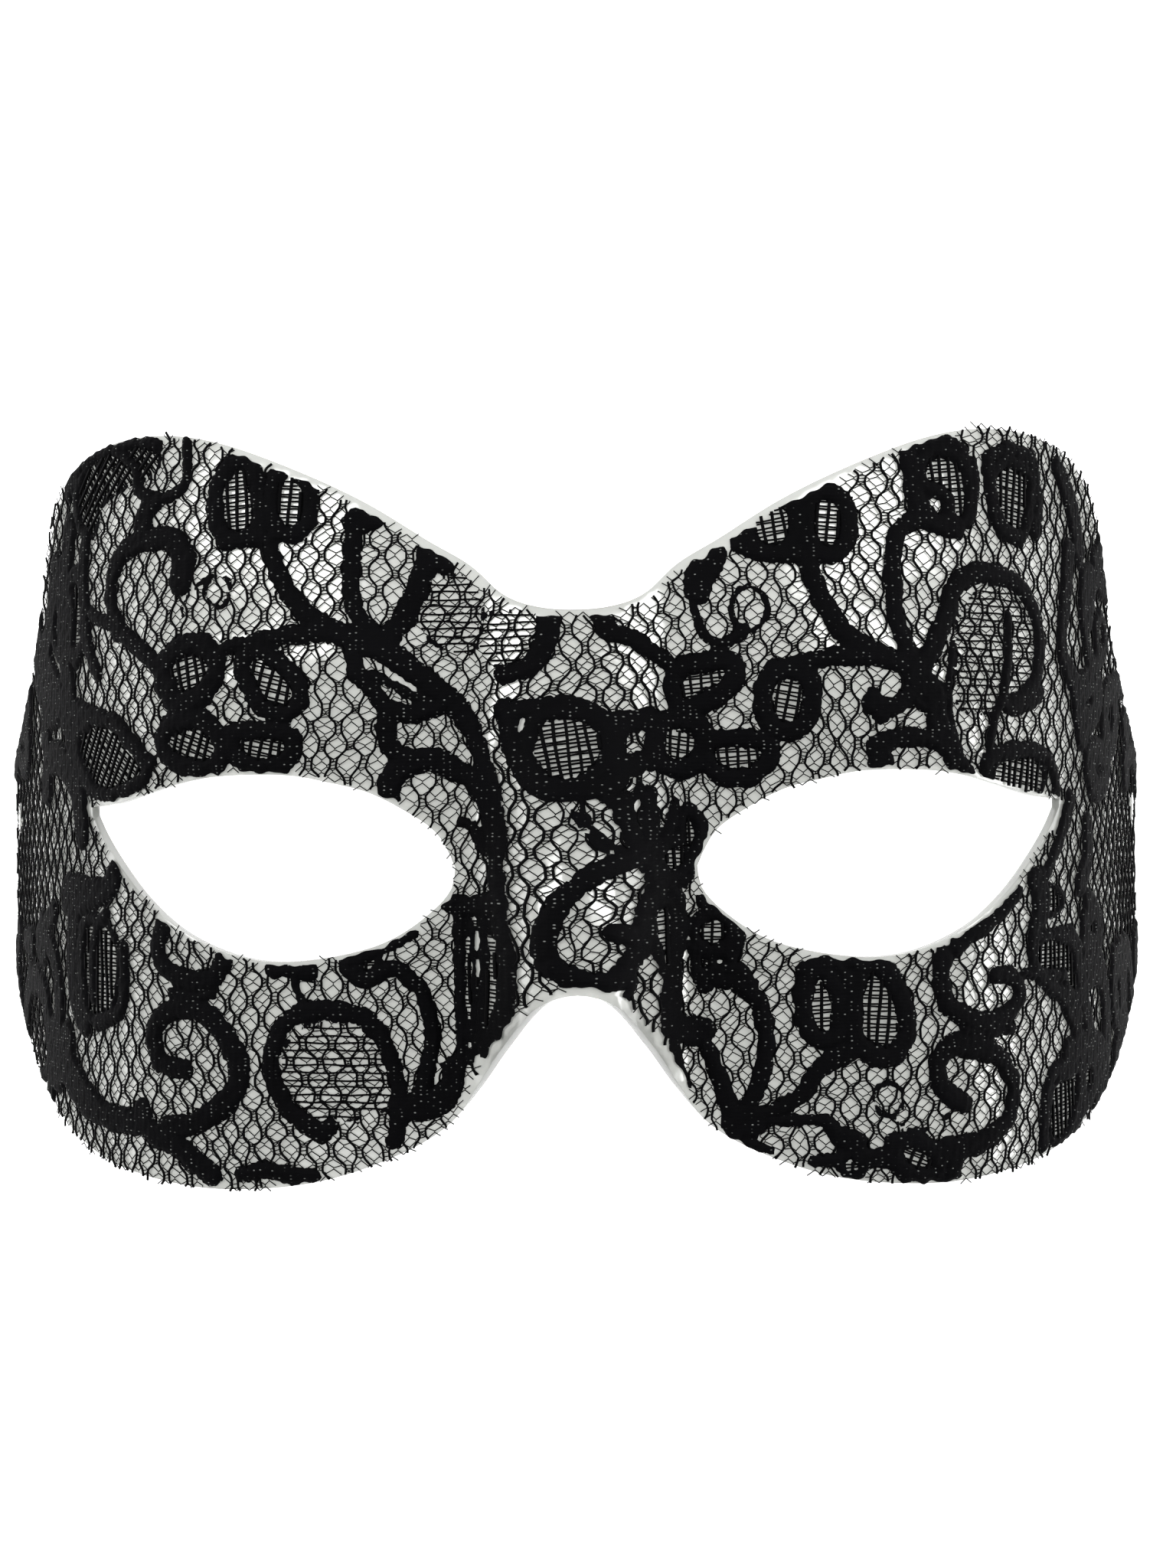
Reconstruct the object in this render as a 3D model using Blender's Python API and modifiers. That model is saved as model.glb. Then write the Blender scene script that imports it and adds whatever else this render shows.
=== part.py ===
# Half mask of clear plastic with black lace glued over its face, lying face up.
# +X is to the viewer's right, +Y towards the forehead, +Z out of the face. Units are metres.
import math

import bpy
import numpy as np
from mathutils import Vector
from mathutils.geometry import delaunay_2d_cdt

# Driving dimensions of the form
HALF_WIDTH = 0.080        # centre line to the inside of the rear edge that the mask rests on
WRAP_DEPTH = 0.060        # how far the sides wrap back behind the face
WRAP_POWER = 4.1          # how late and how sharply they turn back
BROW_LEAN = 0.0050        # how far the forehead leans back at its top
CHEEK_LEAN = 0.0040       # how far the cheeks lean back at their foot
LEAN_REACH = 0.048        # height above or below the middle where those leans are measured
NOSE_BRIDGE_RISE = 0.0020
NOSE_TIP_RISE = 0.0160
NOSE_BRIDGE_Y = 0.026
NOSE_TIP_Y = -0.022
NOSE_BRIDGE_HALF_WIDTH = 0.0080
NOSE_TIP_HALF_WIDTH = 0.0092
NOSE_EDGE_POWER = 3.0
BROW_RIDGE_RISE = 0.0022
BROW_RIDGE_Y = 0.016
BROW_RIDGE_SPREAD = 0.010
BROW_RIDGE_X = 0.036
BROW_RIDGE_REACH = 0.024
MID_HEIGHT_SHIFT = -0.0002  # moves the whole mask along Y so that its box is centred

# Walls
SHELL_THICKNESS = 0.0010
LACE_GAP = 0.0005
LACE_THICKNESS = 0.0011
NET_THICKNESS_SHARE = 0.7

# The outline is read as it shows from the front, from this far off the face
VIEW_DISTANCE = 0.300
REAR_OVERRUN = 1.008      # the sides are laid out this much past the rear edge, where the level cut trims them
SEEN_HALF_WIDTH = REAR_OVERRUN * HALF_WIDTH * VIEW_DISTANCE / (VIEW_DISTANCE + WRAP_DEPTH)
SEEN_HALF_HEIGHT = 0.0455

# Tie holes, measured along the wall from the rear edge
TIE_HOLE_RADIUS = 0.0018
TIE_HOLE_FROM_EDGE = 0.0056
TIE_HOLE_Y = -0.001
TIE_HOLE_SIDES = 12

# Lace
LACE_MARGIN = 0.0012      # trimmed this far short of the shell's edge
LACE_REAR_HEIGHT = 0.0016  # and this high above the surface that the mask rests on
EYE_MARGIN = 0.0006
TIE_MARGIN = 0.0007
EDGE_BAND = 0.0022
SCROLL_WIDTH = 0.0024
NET_BAR_WIDTH = 0.0015
NET_PITCH = 0.0210
NET_SLOPE = 1.25
SMALLEST_GAP = 6.0e-6     # square metres; smaller gaps are closed by the stitching

# Fineness of the faceted surface
GRID_STEP_Y = 0.0068
GRID_STEP_Y_NOSE = 0.0048
GRID_STEP_SIDE = 0.0066
GRID_STEP_NOSE = 0.0019
NOSE_ZONE = 0.0190
GRID_FROM_EDGE = 0.0010
EDGE_STEP = 0.0034
EDGE_STEP_NOSE = 0.0019
LACE_EDGE_STEP = 0.0050
SCROLL_STEP = 0.0030
SCROLL_STEP_NOSE = 0.0020
RING_KNOTS = 10
SIMPLE_TOLERANCE = 0.00014
MERGE_DISTANCE = 0.00002
SEARCH_STEPS = 40
NORMAL_STEP = 0.00005

# Outline of the right half as seen from the front: shares of SEEN_HALF_WIDTH and SEEN_HALF_HEIGHT
OUTLINE = (
    # along, up
    (0.000, 0.519),
    (0.062, 0.527),
    (0.124, 0.562),
    (0.186, 0.640),
    (0.260, 0.705),
    (0.372, 0.808),
    (0.496, 0.896),
    (0.620, 0.965),
    (0.716, 0.990),
    (0.806, 0.976),
    (0.872, 0.920),
    (0.910, 0.835),
    (0.929, 0.715),
    (0.938, 0.590),
    (0.947, 0.470),
    (0.960, 0.350),
    (0.975, 0.240),
    (0.9885, 0.145),
    (1.000, 0.060),
    (1.006, -0.050),
    (1.006, -0.190),
    (1.000, -0.300),
    (0.991, -0.400),
    (0.983, -0.500),
    (0.969, -0.600),
    (0.945, -0.715),
    (0.904, -0.830),
    (0.826, -0.930),
    (0.689, -0.993),
    (0.558, -1.000),
    (0.434, -0.973),
    (0.310, -0.906),
    (0.227, -0.831),
    (0.172, -0.739),
    (0.124, -0.640),
    (0.062, -0.532),
    (0.000, -0.499),
)

# Eye opening of the right half, in the same shares, from the nose side to the outer corner
UPPER_LID = (
    (0.212, -0.160),
    (0.250, -0.065),
    (0.310, -0.002),
    (0.372, 0.045),
    (0.434, 0.070),
    (0.515, 0.093),
    (0.620, 0.093),
    (0.690, 0.078),
    (0.750, 0.052),
    (0.810, 0.022),
    (0.862, 0.010),
)
LOWER_LID = (
    (0.212, -0.160),
    (0.222, -0.215),
    (0.252, -0.264),
    (0.310, -0.328),
    (0.372, -0.369),
    (0.460, -0.396),
    (0.545, -0.402),
    (0.620, -0.379),
    (0.700, -0.320),
    (0.760, -0.240),
    (0.806, -0.150),
    (0.842, -0.060),
    (0.862, 0.010),
)

# Scrolls of the lace, each a path in the same shares, from the left of the mask to the right
SCROLLS = {
    "left_temple_stalk": ((-0.70, 0.96), (-0.70, 0.84), (-0.66, 0.75), (-0.72, 0.70), (-0.80, 0.68)),
    "left_temple_hook": ((-0.72, 0.70), (-0.79, 0.62), (-0.83, 0.50), (-0.77, 0.43), (-0.70, 0.38)),
    "left_side_leaf": ((-0.86, 0.86), (-0.885, 0.66), (-0.875, 0.45), (-0.86, 0.30)),
    "left_brow_bowl": ((-0.54, 0.70), (-0.53, 0.58), (-0.48, 0.47), (-0.40, 0.44),
                       (-0.31, 0.46), (-0.27, 0.56), (-0.26, 0.68)),
    "left_brow_stalk": ((-0.40, 0.78), (-0.40, 0.60), (-0.40, 0.44)),
    "left_flower_arm": ((-0.70, 0.38), (-0.60, 0.34), (-0.50, 0.40), (-0.40, 0.44)),
    "left_lid_scroll": ((-0.38, 0.36), (-0.28, 0.30), (-0.20, 0.22), (-0.15, 0.08), (-0.13, -0.10),
                        (-0.125, -0.34), (-0.14, -0.58)),
    "left_lid_branch": ((-0.36, 0.12), (-0.26, 0.10), (-0.17, 0.04)),
    "left_nose_stem": ((-0.20, -0.22), (-0.20, -0.45), (-0.19, -0.66)),
    "left_cheek_hook": ((-0.74, -0.32), (-0.73, -0.42), (-0.64, -0.44), (-0.60, -0.39)),
    "left_cheek_curl": ((-0.73, -0.54), (-0.62, -0.57), (-0.59, -0.70), (-0.63, -0.82), (-0.70, -0.86),
                        (-0.80, -0.80)),
    "left_cheek_tail": ((-0.73, -0.54), (-0.75, -0.68), (-0.68, -0.70)),
    "left_side_stem": ((-0.86, -0.20), (-0.83, -0.45), (-0.86, -0.62)),
    "left_foot_stem": ((-0.27, -0.46), (-0.24, -0.62), (-0.29, -0.78), (-0.31, -0.88)),
    "bridge_stalk": ((-0.06, 0.50), (-0.08, 0.36), (-0.13, 0.20)),
    "bridge_arm": ((0.04, 0.46), (0.12, 0.38), (0.16, 0.34)),
    "nose_loop": ((0.08, -0.14), (-0.02, -0.24), (-0.05, -0.38), (0.02, -0.45), (0.09, -0.43)),
    "nose_stem": ((0.14, 0.06), (0.12, -0.10), (0.13, -0.34), (0.15, -0.54)),
    "right_brow_bud": ((0.27, 0.72), (0.23, 0.62), (0.18, 0.52)),
    "right_brow_bowl": ((0.41, 0.66), (0.42, 0.52), (0.48, 0.41), (0.58, 0.38), (0.64, 0.46),
                        (0.68, 0.60), (0.80, 0.62), (0.87, 0.66)),
    "right_brow_stalk": ((0.56, 0.90), (0.57, 0.62), (0.58, 0.38)),
    "right_flower_arm": ((0.23, 0.34), (0.32, 0.36), (0.42, 0.38), (0.48, 0.41)),
    "right_lid_scroll": ((0.48, 0.26), (0.56, 0.22), (0.63, 0.16), (0.67, 0.08)),
    "right_side_stem": ((0.87, 0.66), (0.88, 0.40), (0.87, 0.16)),
    "right_cheek_hook": ((0.66, -0.34), (0.65, -0.50), (0.72, -0.57), (0.78, -0.52), (0.75, -0.42)),
    "right_cheek_curl": ((0.66, -0.80), (0.67, -0.66), (0.75, -0.65), (0.79, -0.78), (0.75, -0.87),
                         (0.68, -0.93)),
    "right_side_curl": ((0.80, -0.22), (0.82, -0.44), (0.88, -0.60), (0.86, -0.72), (0.83, -0.86)),
    "right_foot_bow": ((0.22, -0.52), (0.25, -0.68), (0.29, -0.80), (0.38, -0.80), (0.46, -0.68),
                       (0.52, -0.62)),
    "right_foot_stem": ((0.31, -0.44), (0.34, -0.60), (0.31, -0.78)),
}

# Leaves, petals and buds: rings of one scroll's width
RINGS = {
    # name: centre along, centre up, half width, half height, lean in degrees
    "left_leaf_outer": (-0.585, 0.81, 0.042, 0.120, -8.0),
    "left_leaf_inner": (-0.500, 0.80, 0.040, 0.110, 8.0),
    "left_petal_upper": (-0.700, 0.36, 0.050, 0.075, 0.0),
    "left_petal_inner": (-0.545, 0.31, 0.050, 0.070, 0.0),
    "left_petal_lower": (-0.665, 0.17, 0.062, 0.060, 0.0),
    "left_petal_lid": (-0.545, 0.17, 0.060, 0.055, 0.0),
    "left_cheek_oval": (-0.435, -0.69, 0.092, 0.170, 0.0),
    "bridge_bell": (-0.020, 0.16, 0.075, 0.120, 0.0),
    "right_leaf_inner": (0.345, 0.74, 0.046, 0.095, 12.0),
    "right_leaf_outer": (0.440, 0.74, 0.042, 0.110, -6.0),
    "right_petal_inner": (0.245, 0.34, 0.052, 0.075, 0.0),
    "right_petal_outer": (0.375, 0.29, 0.048, 0.080, 0.0),
    "right_petal_lower": (0.200, 0.15, 0.050, 0.075, 0.0),
    "right_petal_lid": (0.320, 0.14, 0.055, 0.050, 0.0),
    "right_temple_oval": (0.740, 0.42, 0.070, 0.150, -6.0),
    "right_foot_leaf_inner": (0.445, -0.52, 0.040, 0.110, 0.0),
    "right_foot_leaf_outer": (0.555, -0.52, 0.045, 0.120, 0.0),
}


def smooth_step(value):
    share = min(max(value, 0.0), 1.0)
    return share * share * (3.0 - 2.0 * share)


def wrap_back(x):
    return WRAP_DEPTH * (abs(x) / HALF_WIDTH) ** WRAP_POWER


def nose_rise(x, y):
    down = smooth_step((NOSE_BRIDGE_Y - y) / (NOSE_BRIDGE_Y - NOSE_TIP_Y))
    rise = NOSE_BRIDGE_RISE + (NOSE_TIP_RISE - NOSE_BRIDGE_RISE) * down
    half = NOSE_BRIDGE_HALF_WIDTH + (NOSE_TIP_HALF_WIDTH - NOSE_BRIDGE_HALF_WIDTH) * down
    return rise * math.exp(-(abs(x) / half) ** NOSE_EDGE_POWER)


def brow_ridge(x, y):
    across = (abs(x) - BROW_RIDGE_X) / BROW_RIDGE_REACH
    upward = (y - BROW_RIDGE_Y) / BROW_RIDGE_SPREAD
    return BROW_RIDGE_RISE * math.exp(-across * across - upward * upward)


def face_height(x, y):
    # Height of the shell's inner face above the surface that the mask rests on
    lean = BROW_LEAN if y > 0.0 else CHEEK_LEAN
    fade = 1.0 - smooth_step((abs(x) - 0.5 * HALF_WIDTH) / (0.5 * HALF_WIDTH))
    leaned = lean * (y / LEAN_REACH) ** 2 * fade
    return WRAP_DEPTH - wrap_back(x) - leaned + nose_rise(x, y) + brow_ridge(x, y)


def face_normal(x, y):
    step = NORMAL_STEP
    slope_x = (face_height(x + step, y) - face_height(x - step, y)) / (2.0 * step)
    slope_y = (face_height(x, y + step) - face_height(x, y - step)) / (2.0 * step)
    return Vector((-slope_x, -slope_y, 1.0)).normalized()


# Length along the wall's wrap, from the centre line, against the distance across
WRAP_X = np.linspace(0.0, 1.1 * HALF_WIDTH, 600)
WRAP_SLOPE = WRAP_DEPTH * WRAP_POWER / HALF_WIDTH * (WRAP_X / HALF_WIDTH) ** (WRAP_POWER - 1.0)
WRAP_STEP = np.sqrt(1.0 + WRAP_SLOPE ** 2)
WRAP_ARC = np.concatenate(([0.0], np.cumsum(0.5 * (WRAP_STEP[1:] + WRAP_STEP[:-1]) * np.diff(WRAP_X))))


def arc_of(x):
    return math.copysign(float(np.interp(abs(x), WRAP_X, WRAP_ARC)), x)


def across_of(arc):
    return math.copysign(float(np.interp(abs(arc), WRAP_ARC, WRAP_X)), arc)


REAR_ARC = arc_of(HALF_WIDTH)


def seen_to_flat(along, up):
    # From a place as seen from the front to a place on the wall laid out flat
    low = -0.4 * WRAP_DEPTH
    high = 2.0 * WRAP_DEPTH
    x = y = 0.0
    for _ in range(SEARCH_STEPS):
        height = 0.5 * (low + high)
        spread = (VIEW_DISTANCE + WRAP_DEPTH - height) / VIEW_DISTANCE
        x = along * SEEN_HALF_WIDTH * spread
        y = up * SEEN_HALF_HEIGHT * spread
        if face_height(x, y) > height:
            low = height
        else:
            high = height
    return arc_of(x), y


def flat_to_form(arc, y, lift):
    x = across_of(arc)
    point = Vector((x, y, face_height(x, y))) + face_normal(x, y) * lift
    point.y += MID_HEIGHT_SHIFT
    return point


def curve_through(points, closed=False, pieces=8):
    # Catmull-Rom curve through flat points
    count = len(points)
    result = []
    spans = count if closed else count - 1
    for index in range(spans):
        quad = []
        for offset in (-1, 0, 1, 2):
            place = index + offset
            place = place % count if closed else min(max(place, 0), count - 1)
            quad.append(np.array(points[place]))
        a, b, c, d = quad
        for piece in range(pieces):
            t = piece / pieces
            result.append(0.5 * (2.0 * b + (c - a) * t + (2.0 * a - 5.0 * b + 4.0 * c - d) * t ** 2
                                 + (3.0 * b - a - 3.0 * c + d) * t ** 3))
    if not closed:
        result.append(np.array(points[-1]))
    return result


def resample(points, side_step, nose_step):
    # Even steps along a path, shorter across the nose
    result = [points[0]]
    travelled = 0.0
    for before, after in zip(points[:-1], points[1:]):
        travelled += float(np.linalg.norm(after - before))
        step = nose_step if abs(after[0]) < NOSE_ZONE else side_step
        if travelled >= step:
            result.append(after)
            travelled = 0.0
    if np.linalg.norm(result[-1] - points[-1]) < 0.4 * nose_step and len(result) > 1:
        result.pop()
    result.append(points[-1])
    return result


def mirrored(points):
    return [np.array((-point[0], point[1])) for point in reversed(points)]


def half_outline():
    knots = [seen_to_flat(along, up) for along, up in OUTLINE]
    before = (-knots[1][0], knots[1][1])
    after = (-knots[-2][0], knots[-2][1])
    curve = curve_through([before] + knots + [after], pieces=10)
    inside = curve[10:-10]
    return resample(inside, EDGE_STEP, EDGE_STEP_NOSE)


def eye_loop():
    upper = curve_through([seen_to_flat(along, up) for along, up in UPPER_LID])
    lower = curve_through([seen_to_flat(along, up) for along, up in LOWER_LID])
    upper = resample(upper, EDGE_STEP, EDGE_STEP_NOSE)
    lower = resample(lower, EDGE_STEP, EDGE_STEP_NOSE)
    return upper[:-1] + lower[:0:-1]


def tie_loop(radius):
    centre = REAR_ARC - TIE_HOLE_FROM_EDGE
    turns = [2.0 * math.pi * side / TIE_HOLE_SIDES for side in range(TIE_HOLE_SIDES)]
    return [np.array((centre + radius * math.cos(turn), TIE_HOLE_Y + radius * math.sin(turn)))
            for turn in turns]


def offset_loop(loop, distance):
    # Moves each point of a closed loop to its left by the distance
    count = len(loop)
    result = []
    for index in range(count):
        along = loop[(index + 1) % count] - loop[index - 1]
        length = float(np.linalg.norm(along))
        left = np.array((-along[1], along[0])) / length
        result.append(loop[index] + left * distance)
    return result


def loop_area(loop):
    points = np.array(loop)
    following = np.roll(points, -1, axis=0)
    return 0.5 * float(np.sum(points[:, 0] * following[:, 1] - following[:, 0] * points[:, 1]))


def inside_loops(places, loops):
    # Even and odd crossings of a ray along +X
    places = np.asarray(places)
    crossings = np.zeros(len(places), dtype=int)
    for loop in loops:
        start = np.array(loop)
        end = np.roll(start, -1, axis=0)
        for a, b in zip(start, end):
            if a[1] == b[1]:
                continue
            spans = (a[1] > places[:, 1]) != (b[1] > places[:, 1])
            meet = a[0] + (places[:, 1] - a[1]) * (b[0] - a[0]) / (b[1] - a[1])
            crossings += spans & (places[:, 0] < meet)
    return crossings % 2 == 1


def distance_to_path(places, path, closed=False):
    points = list(path) + ([path[0]] if closed else [])
    nearest = np.full(len(places), 1.0)
    for a, b in zip(points[:-1], points[1:]):
        run = b - a
        length = float(run @ run)
        if length == 0.0:
            continue
        share = np.clip((places - a) @ run / length, 0.0, 1.0)
        gap = places - (a + share[:, None] * run)
        nearest = np.minimum(nearest, np.sqrt(np.sum(gap * gap, axis=1)))
    return nearest


def loop_edges(paths):
    vertices = []
    edges = []
    for path, closed in paths:
        first = len(vertices)
        vertices.extend(path)
        edges.extend((first + index, first + index + 1) for index in range(len(path) - 1))
        if closed:
            edges.append((first + len(path) - 1, first))
    return vertices, edges


def triangulate(paths, loose_points=()):
    vertices, edges = loop_edges(paths)
    places = [Vector((float(point[0]), float(point[1]))) for point in list(vertices) + list(loose_points)]
    result = delaunay_2d_cdt(places, edges, [], 0, MERGE_DISTANCE)
    flat = np.array([(vertex.x, vertex.y) for vertex in result[0]])
    faces = []
    for face in result[2]:
        a, b, c = (flat[index] for index in face)
        turn = (b[0] - a[0]) * (c[1] - a[1]) - (b[1] - a[1]) * (c[0] - a[0])
        faces.append(tuple(face) if turn > 0.0 else tuple(reversed(face)))
    return flat, faces


def centres_of(flat, faces):
    return flat[np.array(faces)].mean(axis=1)


def make_object(name, flat, faces, lift, collection, material):
    used = sorted({index for face in faces for index in face})
    renumber = {old: new for new, old in enumerate(used)}
    mesh = bpy.data.meshes.new(name)
    points = [flat_to_form(flat[old][0], flat[old][1], lift) for old in used]
    mesh.from_pydata(points, [], [tuple(renumber[index] for index in face) for face in faces])
    mesh.materials.append(material)
    made = bpy.data.objects.new(name, mesh)
    collection.objects.link(made)
    return made, used


def make_material(name, colour, roughness, transmission):
    material = bpy.data.materials.new(name)
    material.use_nodes = True
    shader = material.node_tree.nodes["Principled BSDF"]
    shader.inputs["Base Color"].default_value = (*colour, 1.0)
    shader.inputs["Roughness"].default_value = roughness
    shader.inputs["Metallic"].default_value = 0.0
    shader.inputs["Transmission Weight"].default_value = transmission
    return material


def build_shell(collection, cutters):
    # Right half of the inner face laid out flat, bent, mirrored, thickened and cut level at the rear
    outline = half_outline()
    top = outline[0][1]
    foot = outline[-1][1]
    rows = int((top - foot) / GRID_STEP_Y)
    centre_line = [np.array((0.0, foot + (top - foot) * row / rows)) for row in range(1, rows)]
    rim = outline + centre_line
    eye = eye_loop()
    tie = tie_loop(TIE_HOLE_RADIUS)
    columns = [GRID_STEP_NOSE * step for step in range(1, int(NOSE_ZONE / GRID_STEP_NOSE) + 1)]
    while columns[-1] < REAR_ARC:
        columns.append(columns[-1] + GRID_STEP_SIDE)
    grid = []
    for number, column in enumerate(columns):
        step = GRID_STEP_Y_NOSE if column < NOSE_ZONE else GRID_STEP_Y
        first = -HALF_WIDTH + 0.5 * step * (number % 2)
        grid.extend((column, y) for y in np.arange(first, HALF_WIDTH, step))
    grid = np.array(grid)
    clear = np.ones(len(grid), dtype=bool)
    for loop in (rim, eye, tie):
        clear &= distance_to_path(grid, loop, True) > GRID_FROM_EDGE
    grid = grid[clear & inside_loops(grid, [rim, eye, tie])]
    flat, faces = triangulate([(rim, True), (eye, True), (tie, True)], grid)
    wanted = inside_loops(centres_of(flat, faces), [rim, eye, tie])
    faces = [face for face, keep in zip(faces, wanted) if keep]
    flat[np.abs(flat[:, 0]) < MERGE_DISTANCE, 0] = 0.0
    clear_plastic = make_material("clear_plastic", (0.80, 0.82, 0.80), 0.08, 0.9)
    shell, _ = make_object("mask_shell", flat, faces, 0.0, collection, clear_plastic)

    mirror = shell.modifiers.new("other_half", "MIRROR")
    mirror.use_clip = True
    mirror.merge_threshold = 0.0001
    wall = shell.modifiers.new("wall", "SOLIDIFY")
    wall.thickness = SHELL_THICKNESS
    wall.offset = 1.0
    wall.use_even_offset = True

    depth = WRAP_DEPTH
    bpy.ops.mesh.primitive_cube_add(size=1.0, location=(0.0, 0.0, -0.5 * depth))
    cutter = bpy.context.active_object
    cutter.name = "level_cut"
    cutter.scale = (4.0 * HALF_WIDTH, 4.0 * HALF_WIDTH, depth)
    for owner in list(cutter.users_collection):
        owner.objects.unlink(cutter)
    cutters.objects.link(cutter)
    cutter.hide_render = True
    cutter.display_type = "WIRE"
    level = shell.modifiers.new("level_rear_edge", "BOOLEAN")
    level.operation = "DIFFERENCE"
    level.object = cutter
    level.solver = "EXACT"


def ribbon_sides(path, width, closed):
    # The two edges of a band of the width, or one closed edge for an open path
    if closed:
        return [(offset_loop(path, 0.5 * width), True), (offset_loop(path, -0.5 * width), True)]
    left = []
    right = []
    count = len(path)
    for index in range(count):
        along = path[min(index + 1, count - 1)] - path[max(index - 1, 0)]
        side = np.array((-along[1], along[0])) / float(np.linalg.norm(along)) * 0.5 * width
        left.append(path[index] + side)
        right.append(path[index] - side)
    tip = (path[-1] - path[-2]) / float(np.linalg.norm(path[-1] - path[-2])) * 0.5 * width
    tail = (path[0] - path[1]) / float(np.linalg.norm(path[0] - path[1])) * 0.5 * width
    return [(left + [path[-1] + tip] + right[::-1] + [path[0] + tail], True)]


def scroll_paths():
    paths = []
    for knots in SCROLLS.values():
        flat = [seen_to_flat(along, up) for along, up in knots]
        paths.append((resample(curve_through(flat), SCROLL_STEP, SCROLL_STEP_NOSE), False))
    for along, up, half_width, half_height, lean in RINGS.values():
        knots = []
        for side in range(RING_KNOTS):
            turn = 2.0 * math.pi * side / RING_KNOTS
            out = half_width * SEEN_HALF_WIDTH * math.cos(turn)
            rise = half_height * SEEN_HALF_HEIGHT * math.sin(turn)
            angle = math.radians(lean)
            across = out * math.cos(angle) - rise * math.sin(angle)
            upward = out * math.sin(angle) + rise * math.cos(angle)
            knots.append(seen_to_flat(along + across / SEEN_HALF_WIDTH, up + upward / SEEN_HALF_HEIGHT))
        ring = curve_through(knots, closed=True)
        closed_ring = resample(ring + [ring[0]], SCROLL_STEP, SCROLL_STEP_NOSE)
        paths.append((closed_ring[:-1], True))
    return paths


def net_paths(half_span):
    # Two families of straight bars that cross in diamonds
    reach = 0.075
    paths = []
    count = int((half_span + reach / NET_SLOPE) / NET_PITCH) + 1
    for number in range(-count, count + 1):
        foot = number * NET_PITCH
        for lean in (1.0, -1.0):
            run = reach / NET_SLOPE * lean
            paths.append(([np.array((foot - run, -reach)), np.array((foot + run, reach))], False))
    return paths


def grouped_gaps(faces, is_gap):
    # Connected sets of gap triangles
    beside = {}
    for number, face in enumerate(faces):
        if is_gap[number]:
            for a, b in zip(face, face[1:] + face[:1]):
                beside.setdefault((min(a, b), max(a, b)), []).append(number)
    neighbours = {}
    for pair in beside.values():
        if len(pair) == 2:
            neighbours.setdefault(pair[0], []).append(pair[1])
            neighbours.setdefault(pair[1], []).append(pair[0])
    groups = []
    waiting = {number for number in range(len(faces)) if is_gap[number]}
    while waiting:
        stack = [waiting.pop()]
        group = []
        while stack:
            number = stack.pop()
            group.append(number)
            for other in neighbours.get(number, []):
                if other in waiting:
                    waiting.remove(other)
                    stack.append(other)
        groups.append(group)
    return groups


def rim_steps(faces, keep):
    # Directed edges of the kept triangles that no other kept triangle shares
    directed = set()
    for face, kept in zip(faces, keep):
        if kept:
            directed.update(zip(face, face[1:] + face[:1]))
    return [(a, b) for a, b in directed if (b, a) not in directed]


def close_pinches(faces, keep):
    # Where two gaps meet in one point, the triangles round that point are kept too
    while True:
        starts = {}
        for a, _ in rim_steps(faces, keep):
            starts[a] = starts.get(a, 0) + 1
        pinched = {vertex for vertex, count in starts.items() if count > 1}
        if not pinched:
            return keep
        for number, face in enumerate(faces):
            if pinched.intersection(face):
                keep[number] = True


def rim_loops(flat, faces, keep):
    following = dict(rim_steps(faces, keep))
    loops = []
    while following:
        start = min(following)
        loop = [start]
        step = following.pop(start)
        while step != start:
            loop.append(step)
            step = following.pop(step)
        loops.append([flat[index] for index in loop])
    return loops


def straighten(points):
    # Drops points that lie close to the line between those kept
    if len(points) < 3:
        return points
    line = points[-1] - points[0]
    length = float(np.linalg.norm(line))
    between = np.array(points[1:-1]) - points[0]
    if length > 0.0:
        off = np.abs(between[:, 0] * line[1] - between[:, 1] * line[0]) / length
    else:
        off = np.linalg.norm(between, axis=1)
    worst = int(np.argmax(off))
    if off[worst] < SIMPLE_TOLERANCE:
        return [points[0], points[-1]]
    return straighten(points[:worst + 2])[:-1] + straighten(points[worst + 1:])


def simple_loop(loop):
    far = int(np.argmax([np.linalg.norm(point - loop[0]) for point in loop]))
    kept = straighten(loop[:far + 1])[:-1] + straighten(loop[far:] + [loop[0]])[:-1]
    result = []
    for index, point in enumerate(kept):
        after = kept[(index + 1) % len(kept)]
        step = EDGE_STEP_NOSE if abs(point[0]) < NOSE_ZONE else LACE_EDGE_STEP
        parts = max(1, math.ceil(float(np.linalg.norm(after - point)) / step))
        result.extend(point + (after - point) * part / parts for part in range(parts))
    return result


def lace_borders():
    half = half_outline()
    outline = mirrored(half)[:-1] + half[:-1]
    if loop_area(outline) < 0.0:
        outline.reverse()
    outline = offset_loop(outline, LACE_MARGIN)
    furthest = arc_of(HALF_WIDTH * ((WRAP_DEPTH - LACE_REAR_HEIGHT) / WRAP_DEPTH) ** (1.0 / WRAP_POWER))
    for point in outline:
        point[0] = min(max(point[0], -furthest), furthest)
    eye = eye_loop()
    if loop_area(eye) < 0.0:
        eye.reverse()
    eye = offset_loop(eye, -EYE_MARGIN)
    tie = tie_loop(TIE_HOLE_RADIUS + TIE_MARGIN)
    return outline, [eye, mirrored(eye), tie, mirrored(tie)]


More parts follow.
